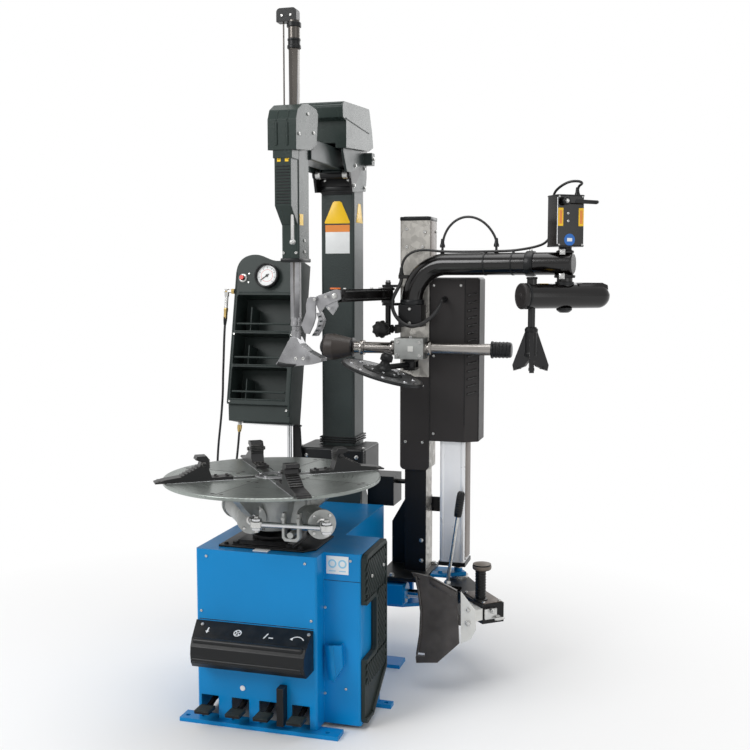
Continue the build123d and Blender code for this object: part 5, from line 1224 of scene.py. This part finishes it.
def make_box_trim():
    """Plain plates, screws, end caps and toggle grip of the control box."""
    def face(u, v, out=0.0):
        return stand(box_spot(u, v, out), BOX_FACE, BOX_ACROSS)

    body = "upper_arm_body"
    labels, insets = Shape(), Shape()
    for u in (-34, 35):
        labels.brick(face(u, 89, -0.1), 17, 54, 0.7, 0)
        insets.brick(face(u, 89, 0.5), 9, 40, 0.3, 0)
    labels.done("box_labels", body, sign_yellow, "white_dial")
    insets.done("box_label_insets", body, sign_orange, "white_dial")
    round_sign = Shape()
    round_sign.pin(face(-3, 21, -0.1), 18, 0.7, 0.1, 40)
    round_sign.done("box_round_sign", body, sign_blue, "white_dial")
    patch = Shape()
    patch.brick(face(-3, 21, 0.5), 17, 10, 0.3, 0)
    patch.done("box_round_sign_patch", body, sign_white, "white_dial")
    screws = Shape()
    screws.socket_screws([box_spot(-10, v) for v in (77, 100)], BOX_FACE, 4)
    screws.socket_screws([box_spot(u, v) for v in (150, 6) for u in (-39, 39)], BOX_FACE, 3)
    screws.done("box_screws", body, zinc_bright, "tool_steel")
    ends = Shape()
    for v in (1, 151):
        ends.brick(stand(BOX_FOOT + Vector((0, 0, v)), TOP, BOX_ACROSS), 91.6, 65.6, 4, 1.4)
    ends.done("box_end_caps", body, moulded_black, "black_plastic")
    edge = Shape()
    edge.bar(box_spot(-44.4, 8, -0.4), box_spot(-44.4, 148, -0.4), 1.1, 0.3)
    edge.done("box_silver_edge", body, drawn_alloy, "drawn_aluminium")
    grip = Shape()
    pivot = box_spot(-22, 136, 11)
    lean = (BOX_ACROSS * 104 + Vector((0, 0, -4))).normalized()
    grip.ring(stand(pivot, BOX_FACE), [(7, -1), (12, -1), (12.6, 1), (12.6, 6), (11, 8), (7, 8)], 40)
    grip.slab(stand(pivot + lean * 26 - BOX_FACE * 0.6, BOX_FACE, lean),
              [(0, -6), (52, -5), (76, -4.6), (82, 0), (76, 4.2), (52, 6), (0, 7)], 7.4, 2.4, 3)
    grip.done("toggle_grip", "toggle_body", moulded_black, "black_plastic")
    nut = Shape()
    nut.bolt(box_spot(-22, 136, 19), BOX_FACE, 6)
    nut.done("toggle_pivot_nut", "toggle_body", zinc_bright, "tool_steel")


def make_roller_trim():
    """Rims of the roller, and end rings and stops of its bar."""
    def along(x):
        return stand((x, 345, 1056), RIGHT)

    rings = Shape()
    rings.ring(along(90), [(30.2, 0), (32, 1), (32, 5), (24, 9), (19.6, 9.6), (19.6, 6)], 56)
    rings.ring(along(-4), [(10.6, 0), (37, 0), (41, -1.4), (43, 2), (41, 6), (10.6, 2)], 56)
    rings.done("roller_rims", "roller_body", satin_black, "roller_rubber")
    ends = Shape()
    ends.ring(along(560), [(19.1, 0), (27, 0), (28, 2), (28, 6), (25.1, 8), (19.1, 8)], 48)
    for x in (572, 584, 596, 608):
        ends.ring(along(x), [(25, 0), (26.4, 1), (26.4, 5), (25, 6)], 48)
    ends.turned(along(-20), [(0, 0), (12, 0), (19, 3), (20.6, 8), (20.6, 13), (12, 16), (0, 16)], 40)
    ends.done("bar_end_rings", "roller_bar_body", moulded_black, "black_plastic")
    stops = Shape()
    for x in (120, 226, 350):
        stops.ring(along(x), [(19.1, 0), (24, 0), (25, 1.5), (25, 12.5), (24, 14), (19.1, 14)], 48)
    stops.socket_screw((127, 320.4, 1056), FRONT, 4)
    stops.done("bar_stop_rings", "roller_bar_body", bar_steel, "polished_steel")


def make_disc_trim():
    """Trim of the lifting disc, which leans on its arm."""
    lean = math.radians(17)
    axis = Vector((math.sin(lean), 0, math.cos(lean)))
    across = Vector((math.cos(lean), 0, -math.sin(lean)))
    centre = Vector((232, 215, 985))
    middle = stand(centre, axis, across)
    hub = Shape()
    hub.ring(middle, [(8.6, 3), (62, 3), (66, 5), (60, 8), (40, 11), (28, 15), (18, 24), (15, 34), (8.6, 36)],
             64)
    hub.ring(middle, [(128, 2.8), (133.6, 2.6), (134.6, 0), (134.6, -3), (136.2, -4), (136.2, 1), (133, 4.2),
                      (128, 3.8)], 96)
    hub.done("disc_hub_cone", "disc_body", moulded_black, "black_plastic")
    face = Shape()
    face.ring(middle, [(66, 3), (127, 3), (127, 3.6), (112, 3.4), (96, 4), (80, 3.4), (66, 3.8)], 96)
    face.done("disc_face", "disc_body", tool_steel, "tool_steel")
    spots = Shape()
    first = 0.3
    for step in range(8):
        a = step * math.tau / 8 + first
        out = across * math.cos(a) + axis.cross(across) * math.sin(a)
        spots.pin(stand(centre + out * 102 + axis * 2.6, axis, across), 8, 3.2, 1.2)
        spots.bolt(centre + out * 50 + axis * 8, axis, 5)
    spots.done("disc_balls", "disc_body", polished, "polished_steel")
    under = Shape()
    under.ring(stand(centre - axis * 9, -axis, across), [(14.5, -3), (30, -3), (28, 2), (20, 5), (14.5, 6)],
               48)
    under.done("disc_under_boss", "disc_body", tool_steel, "tool_steel")
    shaft = Shape()
    shaft.ring(stand(centre + axis * 40, axis), [(14.2, 0), (19, 0), (20, 2), (20, 16), (17, 20), (14.2, 22)],
               40)
    shaft.turned(stand(centre - axis * 18, -axis), [(0, 0), (14, 0), (13, 5), (7, 8), (0, 8.5)], 40)
    shaft.done("disc_arm_collars", "disc_arm_body", satin_black, "black_paint")


def make_holder_trim():
    """Ribs, screws, orange stop and pad ribs of the tool holder."""
    run = Vector((-65, -345, 0)).normalized()
    side = Vector((run.y, -run.x, 0))
    pivot = Vector((215, 345, 1233))
    ribs = Shape()
    for off in (-17.5, 17.5):
        for rise in (-12, 12):
            edge = pivot + side * off + Vector((0, 0, rise))
            ribs.bar(edge + run * 26, edge + run * 330, 2.2, 0.8)
    ribs.ring(stand((215, 345, 1205), TOP), [(17.1, 0), (21, 0), (22, 2), (22, 8), (17.1, 10)], 40)
    ribs.ring(stand((215, 345, 1245), TOP), [(17.1, 0), (22, 2), (22, 8), (21, 9.5), (17.1, 9.5)], 40)
    ribs.done("holder_arm_ribs", "holder_arm_body", forged_black, "black_paint")
    tip = Shape()
    tip.bolt((154, -33, 1233), FRONT, 8)
    tip.socket_screws([pivot + run * reach + Vector((0, 0, 19)) for reach in (60, 120, 300)], TOP, 5)
    tip.done("holder_pivot_bolt", "holder_arm_body", zinc_bright, "tool_steel")
    stop = Shape()
    stop.brick(stand((150, -12, 1252), TOP), 30, 12, 5, 1.5)
    stop.done("holder_orange_stop", "holder_arm_body", orange_part, "black_plastic")
    pins = Shape()
    pins.socket_screws([(131, -45, 1230), (96, -45, 1222), (141, -45, 1196)], FRONT, 4.5)
    pins.done("holder_link_screws", "holder_tool_body", zinc_bright, "tool_steel")
    tread = Shape()
    for x, z in ((114, 1172), (117, 1158), (112, 1144), (104, 1130), (95, 1119)):
        tread.bar((x - 5, -33, z), (x + 1, -57, z), 2.6, 1)
    tread.done("holder_pad_ribs", "holder_tool_body", pad_rubber, "rubber_pad")


make_arm_trim()
make_box_trim()
make_roller_trim()
make_disc_trim()
make_holder_trim()


# ---------------------------------------------------------------- hoses
def lay_hose(name, node, body, radius, points):
    """One smooth spline on the hose's own route, from the point where it leaves its fitting."""
    line = bpy.data.curves.new(name, "CURVE")
    line.dimensions = "3D"
    spline = line.splines.new("NURBS")
    spline.points.add(len(points) - 1)
    for point, (x, y, z) in zip(spline.points, points):
        point.co = (x, y, z, 1)
    spline.order_u = 3
    spline.use_endpoint_u = True
    spline.resolution_u = 12
    line.bevel_depth = radius
    line.bevel_resolution = 6
    line.use_fill_caps = True
    line.materials.append(hose_black)
    piece = bpy.data.objects.new(name, line)
    bpy.context.scene.collection.objects.link(piece)
    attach(piece, body)
    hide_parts(node)


lay_hose("inflator_line", "inflator_hose", "base", 0.004, [
    (-0.38104, 0.37464, 1.16477), (-0.382, 0.366, 1.112), (-0.383, 0.361, 1.056), (-0.384, 0.358, 1.000),
    (-0.386, 0.356, 0.944), (-0.387, 0.355, 0.888), (-0.391, 0.354, 0.832), (-0.397, 0.354, 0.776),
    (-0.405, 0.356, 0.722), (-0.412, 0.360, 0.668), (-0.418, 0.367, 0.612), (-0.419, 0.378, 0.556),
    (-0.414, 0.394, 0.503), (-0.400, 0.414, 0.454), (-0.374, 0.434, 0.413), (-0.336, 0.449, 0.381),
    (-0.294, 0.466, 0.360), (-0.250, 0.478, 0.348), (-0.206, 0.478, 0.342), (-0.180, 0.452, 0.341),
    (-0.180, 0.413, 0.341)])
lay_hose("supply_line", "supply_hose", "base", 0.004, [
    (-0.3315, 0.3699, 0.7673), (-0.3315, 0.3599, 0.72035), (-0.337, 0.358, 0.668), (-0.345, 0.361, 0.616),
    (-0.349, 0.370, 0.564), (-0.345, 0.388, 0.516), (-0.331, 0.414, 0.474), (-0.306, 0.444, 0.440),
    (-0.272, 0.472, 0.414), (-0.237, 0.482, 0.400), (-0.205, 0.469, 0.392), (-0.188, 0.442, 0.390),
    (-0.188, 0.413, 0.390)])
lay_hose("arm_line", "arm_hose", "upper_arm_body", 0.004, [
    (0.262, 0.337, 1.296), (0.262, 0.337, 1.326), (0.276, 0.336, 1.356), (0.308, 0.335, 1.375),
    (0.352, 0.333, 1.377), (0.404, 0.3281, 1.3694), (0.612, 0.2954, 1.3694), (0.660, 0.288, 1.374),
    (0.704, 0.292, 1.382), (0.734, 0.306, 1.394), (0.752, 0.318, 1.424), (0.756, 0.322, 1.468),
    (0.754, 0.310, 1.512), (0.757, 0.286, 1.544), (0.778, 0.262, 1.562), (0.808, 0.248, 1.576),
    (0.838, 0.244, 1.576), (0.848, 0.260, 1.570), (0.830, 0.277, 1.562), (0.830, 0.277, 1.536)])
lay_hose("loop_line", "loop_hose", "mast_body", 0.006, [
    (0.262, 0.337, 1.284), (0.262, 0.337, 1.272), (0.250, 0.320, 1.244), (0.239, 0.303, 1.214),
    (0.244, 0.293, 1.184), (0.260, 0.287, 1.157), (0.288, 0.284, 1.134), (0.322, 0.286, 1.130),
    (0.352, 0.294, 1.144), (0.376, 0.307, 1.166), (0.392, 0.324, 1.192), (0.398, 0.344, 1.216),
    (0.398, 0.380, 1.216)])
lay_hose("strap_line", "strap_hose", "upper_arm_body", 0.004, [
    (0.398, 0.341, 1.372), (0.398, 0.341, 1.404), (0.412, 0.337, 1.440), (0.436, 0.333, 1.466),
    (0.466, 0.329, 1.480), (0.498, 0.325, 1.480), (0.528, 0.321, 1.468), (0.554, 0.317, 1.446),
    (0.574, 0.313, 1.416), (0.578, 0.3125, 1.396), (0.578, 0.3125, 1.372)])


def make_strain_reliefs():
    """Sleeves where the hoses leave their fittings."""
    arm = Shape()
    sleeve = [(4.3, -4), (8.6, -4), (8.6, 3), (6.6, 8), (5.4, 18), (4.6, 24), (4.3, 24)]
    for spot in ((262, 337, 1297), (398, 341, 1388), (578, 312.5, 1388), (830, 277, 1536)):
        arm.ring(stand(spot, TOP), sleeve, 24)
    arm.done("arm_hose_sleeves", "upper_arm_body", moulded_black, "black_plastic")
    mast = Shape()
    wide = [(6.3, -4), (10.5, -4), (10.5, 3), (8.6, 8), (7.2, 20), (6.3, 22)]
    mast.ring(stand((398, 379, 1216), FRONT), wide, 24)
    mast.done("loop_hose_sleeve", "mast_body", moulded_black, "black_plastic")
    tower = Shape()
    tower.ring(stand(INFLATOR_END + INFLATOR_WAY * 14, INFLATOR_WAY),
               [(4.3, 0), (7, 0), (7, 6), (5.6, 20), (4.6, 28), (4.3, 28)], 24)
    tower.done("inflator_sleeve", "base", moulded_black, "black_plastic")


make_strain_reliefs()


# ---------------------------------------------------------------- floor, light and camera
def make_floor():
    """A pale floor that runs out to white, with the object's shadow on it."""
    mesh = bmesh.new()
    bmesh.ops.create_grid(mesh, x_segments=1, y_segments=1, size=30)
    data = bpy.data.meshes.new("floor")
    mesh.to_mesh(data)
    mesh.free()
    floor = bpy.data.objects.new("floor", data)
    bpy.context.scene.collection.objects.link(floor)
    material = bpy.data.materials.new("floor_paint")
    material.use_nodes = True
    tree = material.node_tree
    tree.nodes.clear()
    web = Web(tree)
    output = tree.nodes.new("ShaderNodeOutputMaterial")
    matt = tree.nodes.new("ShaderNodeBsdfDiffuse")
    matt.inputs["Color"].default_value = tint(242, 242, 242)
    plain = tree.nodes.new("ShaderNodeEmission")
    plain.inputs["Color"].default_value = WHITE
    path = tree.nodes.new("ShaderNodeLightPath")
    length = web.node("VectorMath")
    length.operation = "LENGTH"
    web.feed(length.inputs[0], web.spot())
    fade = web.spread(length.outputs["Value"], 0.7, 1.9, 0.0, 1.0)
    seen = web.sum("MAXIMUM", path.outputs["Is Camera Ray"], path.outputs["Is Glossy Ray"])
    web.layer(web.sum("MULTIPLY", fade, seen), matt.outputs[0], plain.outputs[0], output)
    data.materials.append(material)


def make_sky():
    """White surroundings, dimmer on the object than to the eye."""
    world = bpy.data.worlds.new("studio")
    bpy.context.scene.world = world
    world.use_nodes = True
    tree = world.node_tree
    tree.nodes.clear()
    web = Web(tree)
    output = tree.nodes.new("ShaderNodeOutputWorld")
    path = tree.nodes.new("ShaderNodeLightPath")
    near = tree.nodes.new("ShaderNodeBackground")
    near.inputs["Strength"].default_value = 0.5
    near.inputs["Color"].default_value = WHITE
    white = tree.nodes.new("ShaderNodeBackground")
    white.inputs["Color"].default_value = WHITE
    shows = web.sum("MAXIMUM", path.outputs["Is Camera Ray"],
                    web.sum("MAXIMUM", path.outputs["Is Transmission Ray"],
                            web.sum("MULTIPLY", path.outputs["Is Glossy Ray"], 0.5)))
    web.layer(shows, near.outputs[0], white.outputs[0], output)


def soft_lamp(name, at, aim, size, watts):
    """A square lamp that faces a point."""
    lamp = bpy.data.lights.new(name, "AREA")
    lamp.shape = "SQUARE"
    lamp.size = size
    lamp.energy = watts
    thing = bpy.data.objects.new(name, lamp)
    bpy.context.scene.collection.objects.link(thing)
    thing.location = at
    thing.rotation_euler = (Vector(aim) - Vector(at)).to_track_quat("-Z", "Y").to_euler()


make_floor()
make_sky()
soft_lamp("key", (-2.6, -3.4, 3.6), (0, 0, 0.9), 2.2, 120)
soft_lamp("fill", (3.8, -2.6, 2.0), (0.2, 0, 0.9), 2.6, 22)
soft_lamp("above", (0.2, 0.2, 4.4), (0.1, 0.1, 0.9), 2.6, 60)
soft_lamp("behind", (1.6, 3.6, 2.6), (0.1, 0.2, 1.0), 2.4, 40)

lens = bpy.data.cameras.new("camera")
lens.sensor_width = 36
lens.lens = 49.25
camera = bpy.data.objects.new("camera", lens)
bpy.context.scene.collection.objects.link(camera)
camera.location = (1.11574, -2.92541, 1.28257)
camera.rotation_euler = (math.radians(84.66), 0, math.radians(16.13))
bpy.context.scene.camera = camera
bpy.context.scene.view_settings.view_transform = "Standard"
